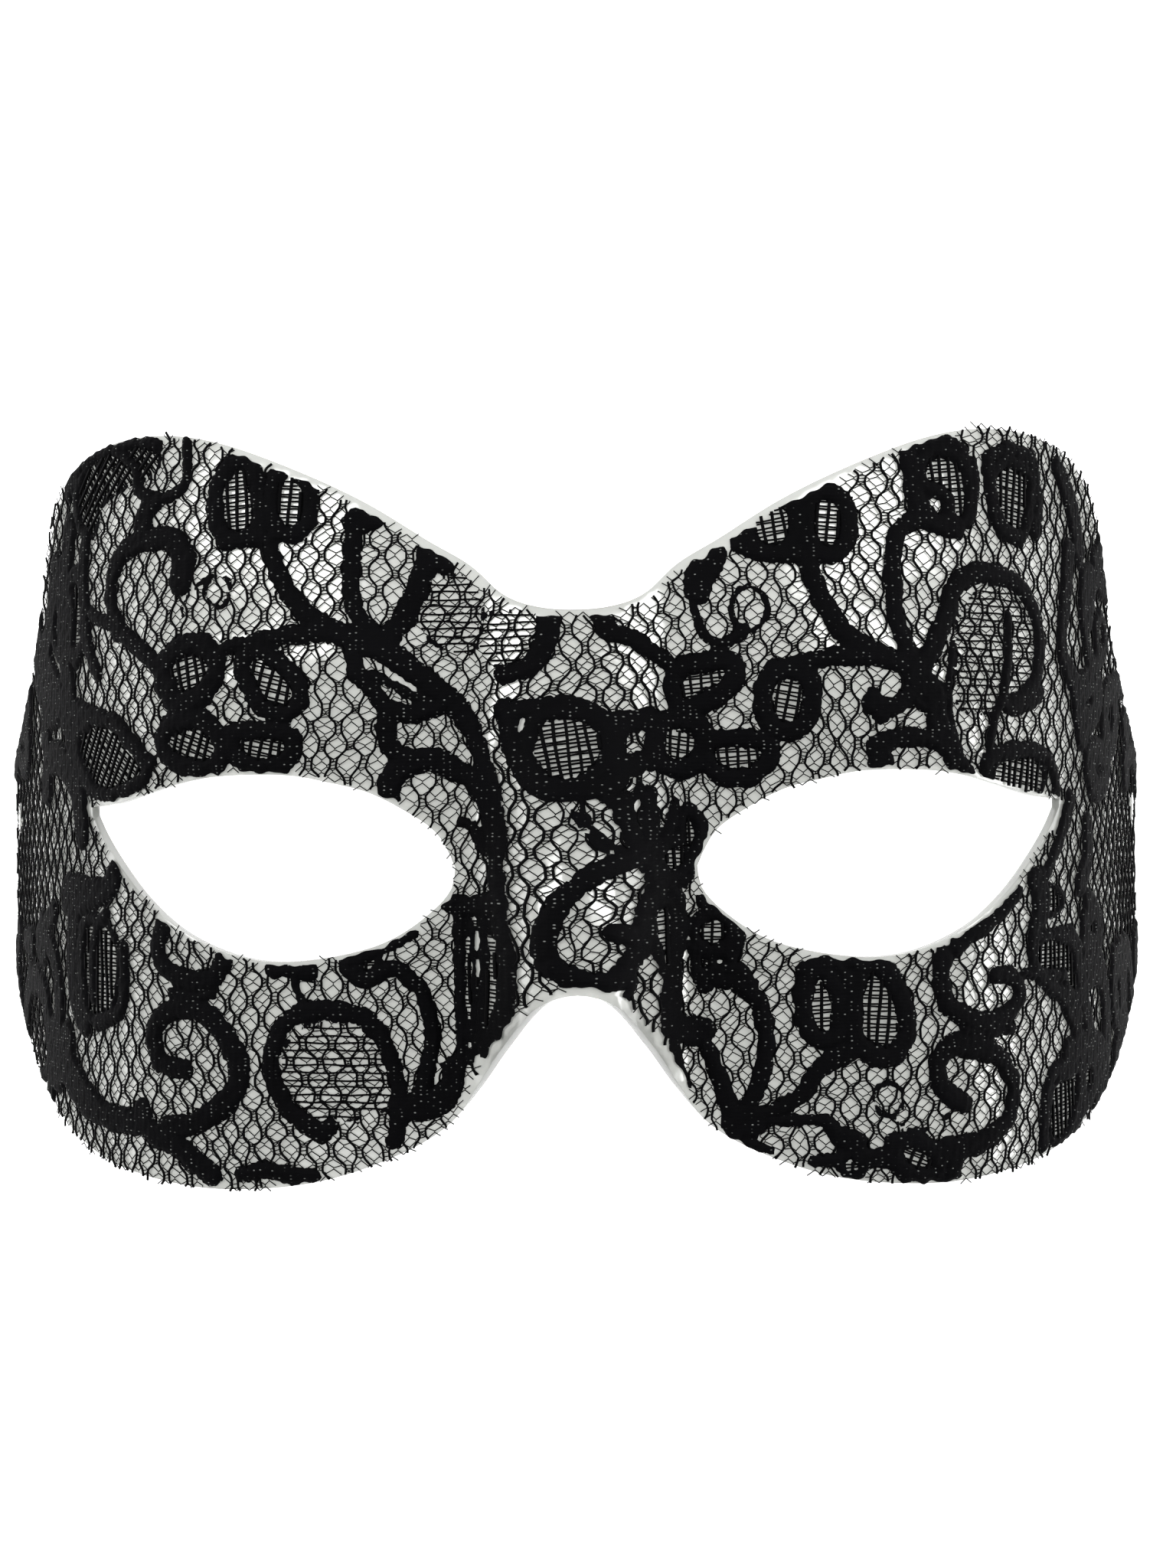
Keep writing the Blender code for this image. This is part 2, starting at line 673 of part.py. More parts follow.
def build_lace(collection):
    outline, openings = lace_borders()
    scrolls = scroll_paths()
    net = net_paths(REAR_ARC)
    guides = [(outline, True), (offset_loop(outline, EDGE_BAND), True)]
    for opening in openings:
        guides.append((opening, True))
        guides.append((offset_loop(opening, -EDGE_BAND), True))
    for path, closed in scrolls:
        guides.extend(ribbon_sides(path, SCROLL_WIDTH, closed))
    for path, closed in net:
        guides.extend(ribbon_sides(path, NET_BAR_WIDTH, closed))
    flat, faces = triangulate(guides)
    centres = centres_of(flat, faces)
    inside = inside_loops(centres, [outline] + openings)
    worked = distance_to_path(centres, outline, True) < EDGE_BAND
    for opening in openings:
        worked |= distance_to_path(centres, opening, True) < EDGE_BAND
    for path, closed in scrolls:
        worked |= distance_to_path(centres, path, closed) < 0.5 * SCROLL_WIDTH
    for path, closed in net:
        worked |= distance_to_path(centres, path, closed) < 0.5 * NET_BAR_WIDTH
    keep = inside & worked
    corners = flat[np.array(faces)]
    sides = corners[:, 1:] - corners[:, :1]
    areas = 0.5 * np.abs(sides[:, 0, 0] * sides[:, 1, 1] - sides[:, 0, 1] * sides[:, 1, 0])
    for gap in grouped_gaps(faces, inside & ~worked):
        if float(areas[gap].sum()) < SMALLEST_GAP:
            keep[gap] = True
    keep = close_pinches(faces, keep)
    loops = [simple_loop(loop) for loop in rim_loops(flat, faces, keep)]
    flat, faces = triangulate([(loop, True) for loop in loops])
    wanted = inside_loops(centres_of(flat, faces), loops)
    faces = [face for face, kept in zip(faces, wanted) if kept]

    black_thread = make_material("black_lace", (0.012, 0.012, 0.014), 0.55, 0.0)
    lift = SHELL_THICKNESS + LACE_GAP
    lace, used = make_object("lace_cover", flat, faces, lift, collection, black_thread)
    places = flat[used]
    raised = np.zeros(len(used), dtype=bool)
    for path, closed in scrolls:
        raised |= distance_to_path(places, path, closed) < 0.5 * SCROLL_WIDTH + MERGE_DISTANCE
    group = lace.vertex_groups.new(name="worked_stitch")
    group.add([int(index) for index in np.nonzero(raised)[0]], 1.0, "REPLACE")
    cloth = lace.modifiers.new("cloth", "SOLIDIFY")
    cloth.thickness = LACE_THICKNESS
    cloth.offset = 1.0
    cloth.vertex_group = group.name
    cloth.thickness_vertex_group = NET_THICKNESS_SHARE


def clear_scene():
    for old in list(bpy.data.objects):
        bpy.data.objects.remove(old, do_unlink=True)


def main():
    clear_scene()
    mask = bpy.data.collections.new("lace_mask")
    cutters = bpy.data.collections.new("cutters")
    bpy.context.scene.collection.children.link(mask)
    bpy.context.scene.collection.children.link(cutters)
    build_shell(mask, cutters)
    build_lace(mask)


main()
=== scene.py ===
# Looks of a half mask: a clear moulded shell with black floral lace glued over it, lying face up.
# Row frame in metres: +X to the viewer's right, +Y towards the forehead, +Z out of the face.
import math

import bmesh
import bpy
import numpy as np
from mathutils import Matrix, Vector


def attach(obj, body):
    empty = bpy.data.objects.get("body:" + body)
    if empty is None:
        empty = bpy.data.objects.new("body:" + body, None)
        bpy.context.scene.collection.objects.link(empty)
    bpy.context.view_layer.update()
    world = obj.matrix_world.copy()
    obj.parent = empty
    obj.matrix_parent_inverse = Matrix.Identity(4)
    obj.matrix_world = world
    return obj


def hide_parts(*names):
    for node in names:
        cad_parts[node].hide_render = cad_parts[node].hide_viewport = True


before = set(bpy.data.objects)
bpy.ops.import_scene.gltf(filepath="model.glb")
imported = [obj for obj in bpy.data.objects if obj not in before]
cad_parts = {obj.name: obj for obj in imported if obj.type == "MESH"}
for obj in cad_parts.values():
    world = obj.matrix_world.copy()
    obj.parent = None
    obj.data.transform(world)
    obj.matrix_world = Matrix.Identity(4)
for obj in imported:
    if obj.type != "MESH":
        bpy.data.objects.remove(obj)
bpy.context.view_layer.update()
mm = 0.001

# The form that the shell was moulded on, as the CAD has it
form = {
    "halfWidth": 80 * mm,
    "wrapDepth": 60 * mm,
    "wrapPower": 4.1,
    "browLean": 5.0 * mm,
    "cheekLean": 4.0 * mm,
    "leanReach": 48 * mm,
    "noseRise": (2 * mm, 16 * mm),       # at the bridge and at the tip
    "noseHalfWidth": (8.0 * mm, 9.2 * mm),
    "noseY": (26 * mm, -22 * mm),
    "noseEdgePower": 3.0,
    "browRidgeRise": 2.2 * mm,
    "browRidgeX": 36 * mm,
    "browRidgeReach": 24 * mm,
    "browRidgeY": 16 * mm,
    "browRidgeSpread": 10 * mm,
    "middleShift": -0.2 * mm,
}

# How the photograph was taken, in its own 1536 x 2048 pixels
photo = {
    "maskMiddle": (752, 1052),
    "imageMiddle": (768, 1024),
    "imageHeight": 2048,
    "pixelsPerMetre": 10800,            # at the face plane
    "eyeAboveFace": 300 * mm,
    "roll": math.radians(0.5),
}

# Seen outline of the right half, in shares of the seen half width and half height
seenHalfWidth = 67.2 * mm
seenHalfHeight = 45.5 * mm
outlineHalf = (
    (0.000, 0.519), (0.062, 0.527), (0.124, 0.562), (0.186, 0.640), (0.260, 0.705), (0.372, 0.808),
    (0.496, 0.896), (0.620, 0.965), (0.716, 0.990), (0.806, 0.976), (0.872, 0.920), (0.910, 0.835),
    (0.929, 0.715), (0.938, 0.590), (0.947, 0.470), (0.960, 0.350), (0.975, 0.240), (0.9885, 0.145),
    (1.000, 0.060), (1.006, -0.050), (1.006, -0.190), (1.000, -0.300), (0.991, -0.400),
    (0.983, -0.500), (0.969, -0.600), (0.945, -0.715), (0.904, -0.830), (0.826, -0.930),
    (0.689, -0.993), (0.558, -1.000), (0.434, -0.973), (0.310, -0.906), (0.227, -0.831),
    (0.172, -0.739), (0.124, -0.640), (0.062, -0.532), (0.000, -0.499),
)
upperLid = (
    (0.212, -0.160), (0.250, -0.065), (0.310, -0.002), (0.372, 0.045), (0.434, 0.070),
    (0.515, 0.093), (0.620, 0.093), (0.690, 0.078), (0.750, 0.052), (0.810, 0.022), (0.862, 0.010),
)
lowerLid = (
    (0.212, -0.160), (0.222, -0.215), (0.252, -0.264), (0.310, -0.328), (0.372, -0.369),
    (0.460, -0.396), (0.545, -0.402), (0.620, -0.379), (0.700, -0.320), (0.760, -0.240),
    (0.806, -0.150), (0.842, -0.060), (0.862, 0.010),
)
tieHole = {"radius": 1.8 * mm, "fromRearEdge": 5.6 * mm, "y": -1.0 * mm}


def smoothStep(value):
    share = np.clip(value, 0.0, 1.0)
    return share * share * (3.0 - 2.0 * share)


def faceHeight(x, y):
    # Height of the shell's inner face above the surface that the mask lies on
    f = form
    lean = np.where(y > 0.0, f["browLean"], f["cheekLean"])
    fade = 1.0 - smoothStep((np.abs(x) - 0.5 * f["halfWidth"]) / (0.5 * f["halfWidth"]))
    down = smoothStep((f["noseY"][0] - y) / (f["noseY"][0] - f["noseY"][1]))
    rise = f["noseRise"][0] + (f["noseRise"][1] - f["noseRise"][0]) * down
    half = f["noseHalfWidth"][0] + (f["noseHalfWidth"][1] - f["noseHalfWidth"][0]) * down
    nose = rise * np.exp(-(np.abs(x) / half) ** f["noseEdgePower"])
    across = (np.abs(x) - f["browRidgeX"]) / f["browRidgeReach"]
    upward = (y - f["browRidgeY"]) / f["browRidgeSpread"]
    brow = f["browRidgeRise"] * np.exp(-across * across - upward * upward)
    wrap = f["wrapDepth"] * (np.abs(x) / f["halfWidth"]) ** f["wrapPower"]
    return f["wrapDepth"] - wrap - lean * (y / f["leanReach"]) ** 2 * fade + nose + brow


# Length along the wall from the centre line, against the distance across
wrapX = np.linspace(0.0, 1.1 * form["halfWidth"], 900)
wrapSlope = form["wrapDepth"] * form["wrapPower"] / form["halfWidth"] * (
    wrapX / form["halfWidth"]) ** (form["wrapPower"] - 1.0)
wrapStep = np.sqrt(1.0 + wrapSlope ** 2)
wrapArc = np.concatenate(([0.0], np.cumsum(0.5 * (wrapStep[1:] + wrapStep[:-1]) * np.diff(wrapX))))


def arcOf(x):
    return np.sign(x) * np.interp(np.abs(x), wrapX, wrapArc)


def acrossOf(arc):
    return np.sign(arc) * np.interp(np.abs(arc), wrapArc, wrapX)


rearArc = float(arcOf(form["halfWidth"]))


def bend(flat, lift):
    # From flat places (along the wall, y) to places on the form, lifted off its inner face
    flat = np.asarray(flat, float)
    x = acrossOf(flat[:, 0])
    y = flat[:, 1]
    step = 0.05 * mm
    slopeX = (faceHeight(x + step, y) - faceHeight(x - step, y)) / (2 * step)
    slopeY = (faceHeight(x, y + step) - faceHeight(x, y - step)) / (2 * step)
    normal = np.stack((-slopeX, -slopeY, np.ones_like(x)), axis=1)
    normal /= np.linalg.norm(normal, axis=1)[:, None]
    place = np.stack((x, y + form["middleShift"], faceHeight(x, y)), axis=1)
    return place + normal * np.reshape(lift, (-1, 1))


def seenToFlat(seenX, seenY):
    # From a place as seen by the eye, measured on the face plane, to a place on the flat wall
    seenX = np.asarray(seenX, float)
    seenY = np.asarray(seenY, float)
    low = np.full(seenX.shape, -0.4 * form["wrapDepth"])
    high = np.full(seenX.shape, 2.0 * form["wrapDepth"])
    for _ in range(40):
        height = 0.5 * (low + high)
        spread = (photo["eyeAboveFace"] + form["wrapDepth"] - height) / photo["eyeAboveFace"]
        above = faceHeight(seenX * spread, seenY * spread) > height
        low = np.where(above, height, low)
        high = np.where(above, high, height)
    return np.stack((arcOf(seenX * spread), seenY * spread), axis=-1)


def photoToFlat(points):
    # From pixels of the photograph to places on the flat wall
    points = np.asarray(points, float)
    right = (points[:, 0] - photo["maskMiddle"][0]) / photo["pixelsPerMetre"]
    up = (photo["maskMiddle"][1] - points[:, 1]) / photo["pixelsPerMetre"]
    c = math.cos(photo["roll"])
    s = math.sin(photo["roll"])
    return seenToFlat(right * c + up * s, up * c - right * s)


def curveThrough(points, closed=False, step=0.5 * mm):
    # Smooth curve through flat points, in even short steps
    points = np.asarray(points, float)
    count = len(points)
    if count < 3 and not closed:
        spans = max(2, int(np.linalg.norm(points[1] - points[0]) / step))
        return points[0] + np.linspace(0.0, 1.0, spans + 1)[:, None] * (points[1] - points[0])
    result = []
    for index in range(count if closed else count - 1):
        places = [index - 1, index, index + 1, index + 2]
        places = [p % count if closed else min(max(p, 0), count - 1) for p in places]
        a, b, c, d = (points[p] for p in places)
        pieces = max(2, int(np.linalg.norm(c - b) / step))
        t = np.arange(pieces)[:, None] / pieces
        result.append(0.5 * (2 * b + (c - a) * t + (2 * a - 5 * b + 4 * c - d) * t ** 2
                             + (3 * b - a - 3 * c + d) * t ** 3))
    if not closed:
        result.append(points[-1:])
    return np.concatenate(result)


def seenShares(pairs):
    pairs = np.asarray(pairs)
    return seenToFlat(pairs[:, 0] * seenHalfWidth, pairs[:, 1] * seenHalfHeight)


def wholeOutline():
    half = seenShares(outlineHalf)
    half = half[np.abs(half[:, 0]) < 1.3 * rearArc]
    other = half[1:-1][::-1] * np.array((-1.0, 1.0))
    return curveThrough(np.concatenate((half, other)), closed=True, step=0.6 * mm)


def eyeOutline(side):
    upper = curveThrough(seenShares(upperLid), step=0.4 * mm)
    lower = curveThrough(seenShares(lowerLid), step=0.4 * mm)
    loop = np.concatenate((upper[:-1], lower[::-1][:-1]))
    return loop * np.array((side, 1.0))


# Traced lace motifs, in photograph pixels. Cloth bands: start width and end width in millimetres, then points
browLeftBands = {
    "topStalk": (1.5, 1.6, (252, 572), (252, 600), (250, 630), (236, 648), (212, 655)),
    "topStalkFoot": (2.6, 3.6, (214, 655), (200, 668), (196, 690)),
    "topStalkArm": (2.0, 1.5, (212, 655), (190, 640), (186, 610), (160, 590)),
    "topLeftRim": (1.6, 2.0, (104, 640), (118, 606), (150, 586), (190, 578), (214, 584)),
    "curl": (2.2, 3.6, (232, 893), (205, 858), (172, 826), (157, 790), (158, 752), (172, 722), (200, 706),
        (232, 706), (248, 728), (244, 762)),
    "leafFork": (2.4, 2.0, (300, 708), (330, 706), (362, 702), (396, 700)),
    "leafGap": (2.0, 2.0, (350, 668), (350, 690), (352, 704)),
    "leafStem": (2.2, 2.8, (354, 706), (366, 745), (384, 782), (415, 812), (455, 832), (500, 838)),
    "stalkKnob": (3.6, 3.0, (468, 684), (488, 680)),
    "stalk": (2.3, 2.1, (466, 690), (462, 730), (460, 770), (470, 808), (500, 836)),
    "rightStalkKnob": (2.0, 2.6, (555, 718), (580, 738)),
    "rightStalk": (2.8, 2.8, (562, 722), (552, 752), (540, 785), (528, 812), (505, 836)),
    "flowerArm": (1.6, 2.6, (300, 846), (340, 838), (380, 832), (430, 828)),
    "scroll": (3.0, 2.4, (470, 838), (522, 862), (556, 888), (590, 914), (618, 950), (636, 990),
        (650, 1030), (658, 1070)),
    "scrollBranch": (2.2, 2.0, (462, 858), (470, 884), (492, 904), (504, 930), (506, 960)),
    "scrollTwig": (1.3, 1.1, (486, 882), (520, 896), (546, 912)),
    "lidTwig": (2.2, 2.2, (504, 925), (540, 930), (572, 922)),
    "lidKnob": (2.6, 2.2, (506, 948), (516, 978), (548, 992)),
    "lidArch": (3.0, 2.8, (510, 1036), (514, 1012), (530, 996), (562, 990), (600, 1004), (632, 1026),
        (652, 1058), (660, 1100)),
    "lidInnerTwig": (2.2, 1.2, (662, 1112), (640, 1100), (622, 1076), (606, 1070)),
    "sideStalk": (1.8, 2.2, (126, 700), (122, 740), (124, 800), (130, 850), (140, 880)),
    "sideStalkOuter": (2.4, 2.6, (104, 690), (98, 760), (96, 830), (104, 900)),
    "sideArm": (1.6, 2.4, (128, 800), (150, 812), (166, 826)),
    "underCurlFoot": (2.6, 2.4, (104, 932), (140, 934), (165, 946), (182, 970), (206, 992)),
}
cheekLeftBands = {
    "sideBlock": (4.2, 3.6, (104, 1168), (130, 1166), (152, 1158), (162, 1138)),
    "sideLadderLeft": (2.6, 2.4, (112, 1180), (108, 1240), (112, 1300), (124, 1334)),
    "sideLadderRight": (2.2, 2.4, (172, 1236), (174, 1280), (168, 1316), (140, 1332)),
    "sideLadderMiddle": (2.0, 1.6, (150, 1190), (138, 1215), (134, 1260), (136, 1300)),
    "hook": (2.6, 2.5, (222, 1208), (216, 1240), (232, 1266), (264, 1278), (290, 1270), (298, 1250)),
    "hookFoot": (1.2, 1.4, (232, 1292), (258, 1300), (284, 1294)),
    "curl": (2.8, 3.0, (218, 1384), (210, 1352), (222, 1322), (258, 1312), (290, 1334), (314, 1372),
        (318, 1408), (296, 1440), (262, 1462), (226, 1468)),
    "curlHook": (2.6, 2.6, (212, 1360), (222, 1384), (250, 1392)),
    "footMass": (3.4, 3.0, (196, 1446), (208, 1474), (240, 1490), (262, 1512), (284, 1528)),
    "footTail": (2.0, 2.4, (322, 1528), (350, 1522), (380, 1528), (410, 1532)),
    "cornerMass": (4.0, 3.4, (100, 1384), (118, 1420), (150, 1452), (190, 1462)),
    "cornerSide": (2.0, 2.4, (84, 1340), (100, 1390), (136, 1440)),
    "lidCloth": (2.2, 2.4, (362, 1262), (388, 1262), (408, 1266)),
    "lidClothFoot": (1.0, 1.0, (386, 1262), (392, 1290), (408, 1312)),
    "oval": (2.3, 2.0, (424, 1474), (388, 1450), (366, 1418), (358, 1380), (370, 1342), (402, 1318),
        (446, 1316), (486, 1334), (510, 1368), (520, 1406), (526, 1444), (516, 1486)),
    "ovalTop": (2.4, 2.4, (396, 1318), (430, 1314), (466, 1320), (496, 1342)),
    "ovalFoot": (2.0, 2.0, (398, 1462), (422, 1478), (436, 1464)),
    "lidBand": (1.9, 1.7, (456, 1252), (486, 1240), (514, 1228), (540, 1214)),
    "lidBandLower": (1.9, 2.2, (456, 1262), (478, 1276), (512, 1262), (536, 1272), (556, 1300), (566, 1340),
        (562, 1380), (552, 1420), (542, 1446)),
    "archMass": (3.2, 3.6, (526, 1442), (560, 1440), (590, 1420), (598, 1392)),
    "noseBlock": (2.6, 3.2, (592, 1176), (620, 1182), (656, 1180)),
    "noseStemInner": (2.0, 1.8, (606, 1190), (606, 1250), (608, 1320), (608, 1380), (596, 1412)),
    "noseStem": (2.1, 2.3, (658, 1090), (660, 1130), (662, 1180), (672, 1240), (676, 1290), (664, 1340),
        (646, 1366)),
    "noseStemMiddle": (1.4, 1.2, (640, 1192), (644, 1240), (642, 1300), (636, 1350), (622, 1380)),
    "noseStemLeft": (0.9, 0.9, (624, 1192), (628, 1240), (630, 1300), (626, 1346)),
}
bridgeBands = {
    "bridgeStalk": (2.6, 2.4, (718, 800), (718, 826), (710, 850), (692, 876), (664, 882)),
    "bridgeArm": (2.6, 2.0, (784, 804), (794, 826), (826, 838), (856, 856), (878, 872)),
    "bellTop": (2.2, 2.2, (662, 926), (700, 926), (744, 922), (776, 936), (796, 962), (800, 990)),
    "bellLeft": (2.4, 2.0, (672, 932), (674, 966), (688, 1000), (702, 1026), (730, 1040)),
    "bellFoot": (2.4, 2.8, (722, 1036), (756, 1036), (788, 1026), (808, 1004), (836, 992)),
    "bellRight": (3.0, 2.6, (800, 950), (816, 944), (842, 938)),
    "bellRightFoot": (2.2, 2.4, (800, 996), (824, 1000), (844, 982)),
    "roundWindow": (1.0, 1.0, (782, 1016), (780, 1042), (800, 1056), (822, 1040), (826, 1012)),
    "bellDrop": (2.4, 2.2, (806, 1050), (808, 1074), (822, 1104), (836, 1130)),
    "noseLoop": (2.4, 2.4, (838, 1116), (806, 1124), (772, 1146), (740, 1172), (722, 1204), (716, 1240),
        (730, 1266), (762, 1278), (796, 1276), (814, 1254), (822, 1230), (796, 1218)),
    "rightStem": (2.4, 2.6, (836, 1040), (838, 1080), (840, 1120), (846, 1160), (832, 1190), (828, 1226)),
    "rightStemOuter": (1.8, 2.2, (848, 1150), (872, 1162), (882, 1204), (874, 1240), (862, 1290),
        (862, 1340)),
    "rightStemInner": (1.6, 1.6, (874, 1048), (866, 1080), (850, 1100)),
    "lidEdge": (1.6, 1.8, (912, 1066), (914, 1100), (904, 1128), (884, 1150)),
    "noseFoot": (1.6, 1.4, (808, 1262), (812, 1288), (806, 1304)),
}
browRightBands = {
    "budUpper": (3.6, 3.6, (926, 724), (918, 740)),
    "bud": (4.6, 3.4, (922, 728), (914, 752), (910, 772)),
    "budTwig": (0.8, 1.6, (904, 792), (918, 826), (940, 842), (962, 832), (972, 822)),
    "leafFork": (2.6, 2.0, (966, 712), (1000, 724), (1036, 726), (1080, 728)),
    "leafTip": (2.4, 2.8, (958, 690), (972, 700)),
    "leafGap": (2.2, 2.0, (1040, 694), (1040, 712)),
    "leafStem": (2.4, 2.8, (1054, 738), (1064, 772), (1082, 806), (1108, 836), (1150, 858), (1186, 868)),
    "flowerArm": (1.8, 2.4, (1000, 880), (1040, 868), (1090, 858), (1130, 858)),
    "stalk": (2.4, 2.3, (1190, 678), (1168, 696), (1161, 730), (1161, 770), (1166, 812), (1184, 862)),
    "arch": (2.8, 2.5, (1190, 876), (1212, 844), (1228, 804), (1238, 770), (1262, 750), (1296, 752),
        (1326, 772), (1342, 808), (1346, 850), (1338, 894), (1312, 918)),
    "archFoot": (2.4, 2.0, (1346, 904), (1318, 922), (1296, 916)),
    "archMiddle": (1.6, 1.9, (1306, 806), (1306, 850), (1300, 900)),
    "archBase": (3.4, 3.0, (1190, 884), (1212, 906), (1216, 936), (1232, 966), (1244, 1000), (1262, 1020)),
    "archInner": (1.2, 1.0, (1236, 842), (1232, 880), (1232, 920), (1238, 960)),
    "scrollUpper": (2.8, 1.8, (1134, 916), (1160, 920), (1184, 904), (1208, 902)),
    "scrollUpperKnob": (2.4, 2.4, (1136, 910), (1146, 930)),
    "scrollTwig": (1.2, 1.2, (1180, 904), (1204, 926)),
    "scrollLower": (2.8, 2.0, (1142, 996), (1146, 972), (1170, 960), (1206, 962), (1232, 978)),
    "scrollLowerKnob": (3.0, 2.6, (1140, 974), (1150, 994)),
    "topBand": (2.6, 3.0, (1180, 590), (1184, 622), (1190, 652), (1210, 682), (1240, 690)),
    "topRoof": (2.0, 1.8, (1186, 584), (1222, 578), (1250, 590)),
    "topMiddle": (1.6, 1.9, (1262, 604), (1264, 640), (1258, 676), (1236, 692)),
    "topRightRoof": (1.8, 2.6, (1280, 600), (1306, 588), (1334, 602)),
    "topRight": (2.2, 2.4, (1282, 612), (1286, 650), (1296, 690), (1322, 704)),
    "topRightOuter": (2.6, 2.6, (1336, 600), (1344, 650), (1340, 692)),
    "sideStalk": (2.2, 2.2, (1382, 720), (1378, 780), (1374, 850), (1392, 900), (1400, 960)),
    "sideStalkUpper": (2.4, 2.2, (1368, 610), (1386, 660), (1396, 720)),
    "lidBlock": (2.4, 2.0, (1276, 1016), (1282, 990), (1310, 976), (1344, 978), (1362, 1000), (1368, 1032)),
    "lidBlockFoot": (1.6, 1.2, (1268, 1016), (1300, 1034), (1330, 1042)),
    "lidUpperTwig": (1.6, 1.4, (1282, 970), (1290, 930), (1300, 912)),
}
cheekRightBands = {
    "lidLeaf": (1.8, 2.2, (914, 1176), (940, 1190), (962, 1212), (952, 1246)),
    "lidLeafFoot": (1.6, 1.6, (896, 1236), (924, 1242), (954, 1240)),
    "lidLeafStem": (2.0, 2.0, (914, 1272), (940, 1264), (960, 1262), (980, 1284)),
    "lidLeafLeft": (1.4, 1.4, (890, 1208), (902, 1226), (906, 1256), (914, 1280)),
    "noseBlock": (3.6, 3.4, (872, 1336), (892, 1342), (914, 1342)),
    "noseStem": (1.6, 1.8, (866, 1210), (872, 1270), (870, 1330), (872, 1380), (888, 1420)),
    "petalLeft": (2.0, 2.4, (900, 1330), (914, 1352), (930, 1384), (942, 1414), (954, 1446)),
    "petalRight": (2.2, 2.2, (938, 1276), (970, 1284), (992, 1312), (998, 1350), (996, 1390), (984, 1424),
        (972, 1452)),
    "petalFoot": (3.4, 3.8, (960, 1462), (978, 1462)),
    "petalFootLower": (2.0, 1.8, (950, 1476), (978, 1490), (1000, 1500)),
    "bow": (1.8, 2.6, (982, 1450), (1014, 1444), (1044, 1424), (1064, 1396), (1088, 1376), (1110, 1368)),
    "bowLower": (1.4, 1.4, (984, 1456), (1020, 1458), (1052, 1456), (1076, 1458)),
    "bowRight": (1.6, 3.2, (1076, 1458), (1090, 1476), (1112, 1486)),
    "footBand": (1.6, 1.6, (1060, 1510), (1088, 1508), (1108, 1500)),
    "footRight": (2.6, 2.4, (1112, 1486), (1124, 1506), (1160, 1506), (1182, 1530), (1220, 1530)),
    "footKnob": (2.4, 2.6, (1160, 1488), (1186, 1480)),
    "footKnobFoot": (2.2, 2.4, (1190, 1482), (1220, 1500), (1244, 1500)),
    "footSide": (2.6, 2.8, (1244, 1502), (1236, 1528)),
    "leafRoof": (2.0, 2.0, (1048, 1262), (1080, 1252), (1120, 1250), (1146, 1250)),
    "leafMiddle": (1.4, 2.2, (1088, 1250), (1092, 1262), (1112, 1284)),
    "hook": (2.6, 2.5, (1226, 1244), (1222, 1280), (1238, 1316), (1272, 1330), (1304, 1322), (1322, 1296),
        (1312, 1272), (1292, 1270)),
    "lidEdge": (1.5, 2.4, (1322, 1160), (1300, 1188), (1270, 1212), (1240, 1234)),
    "hookTwig": (1.2, 1.4, (1252, 1340), (1280, 1346), (1310, 1340)),
    "curl": (2.6, 2.8, (1250, 1436), (1228, 1420), (1216, 1390), (1230, 1364), (1262, 1358), (1292, 1374),
        (1312, 1408), (1310, 1448), (1290, 1476), (1262, 1490), (1230, 1494)),
    "curlTop": (2.2, 2.2, (1226, 1366), (1256, 1366), (1284, 1374)),
    "sideBlock": (4.4, 3.8, (1344, 1150), (1350, 1172), (1346, 1192)),
    "sideBlockEdge": (2.2, 1.8, (1352, 1144), (1366, 1110), (1378, 1070), (1384, 1044)),
    "sideStem": (2.4, 2.4, (1340, 1204), (1338, 1236), (1346, 1270), (1376, 1300), (1392, 1330)),
    "sideStemArm": (1.8, 1.8, (1340, 1222), (1366, 1218), (1388, 1226), (1398, 1270), (1404, 1310)),
    "sideStemTwig": (1.4, 1.4, (1326, 1268), (1350, 1272), (1376, 1272)),
    "footColumn": (2.2, 2.4, (1384, 1384), (1362, 1402), (1354, 1440), (1352, 1490)),
    "footColumnTop": (3.2, 3.4, (1382, 1376), (1404, 1364), (1424, 1372)),
    "footColumnRight": (1.8, 2.0, (1400, 1390), (1398, 1430), (1390, 1470)),
}
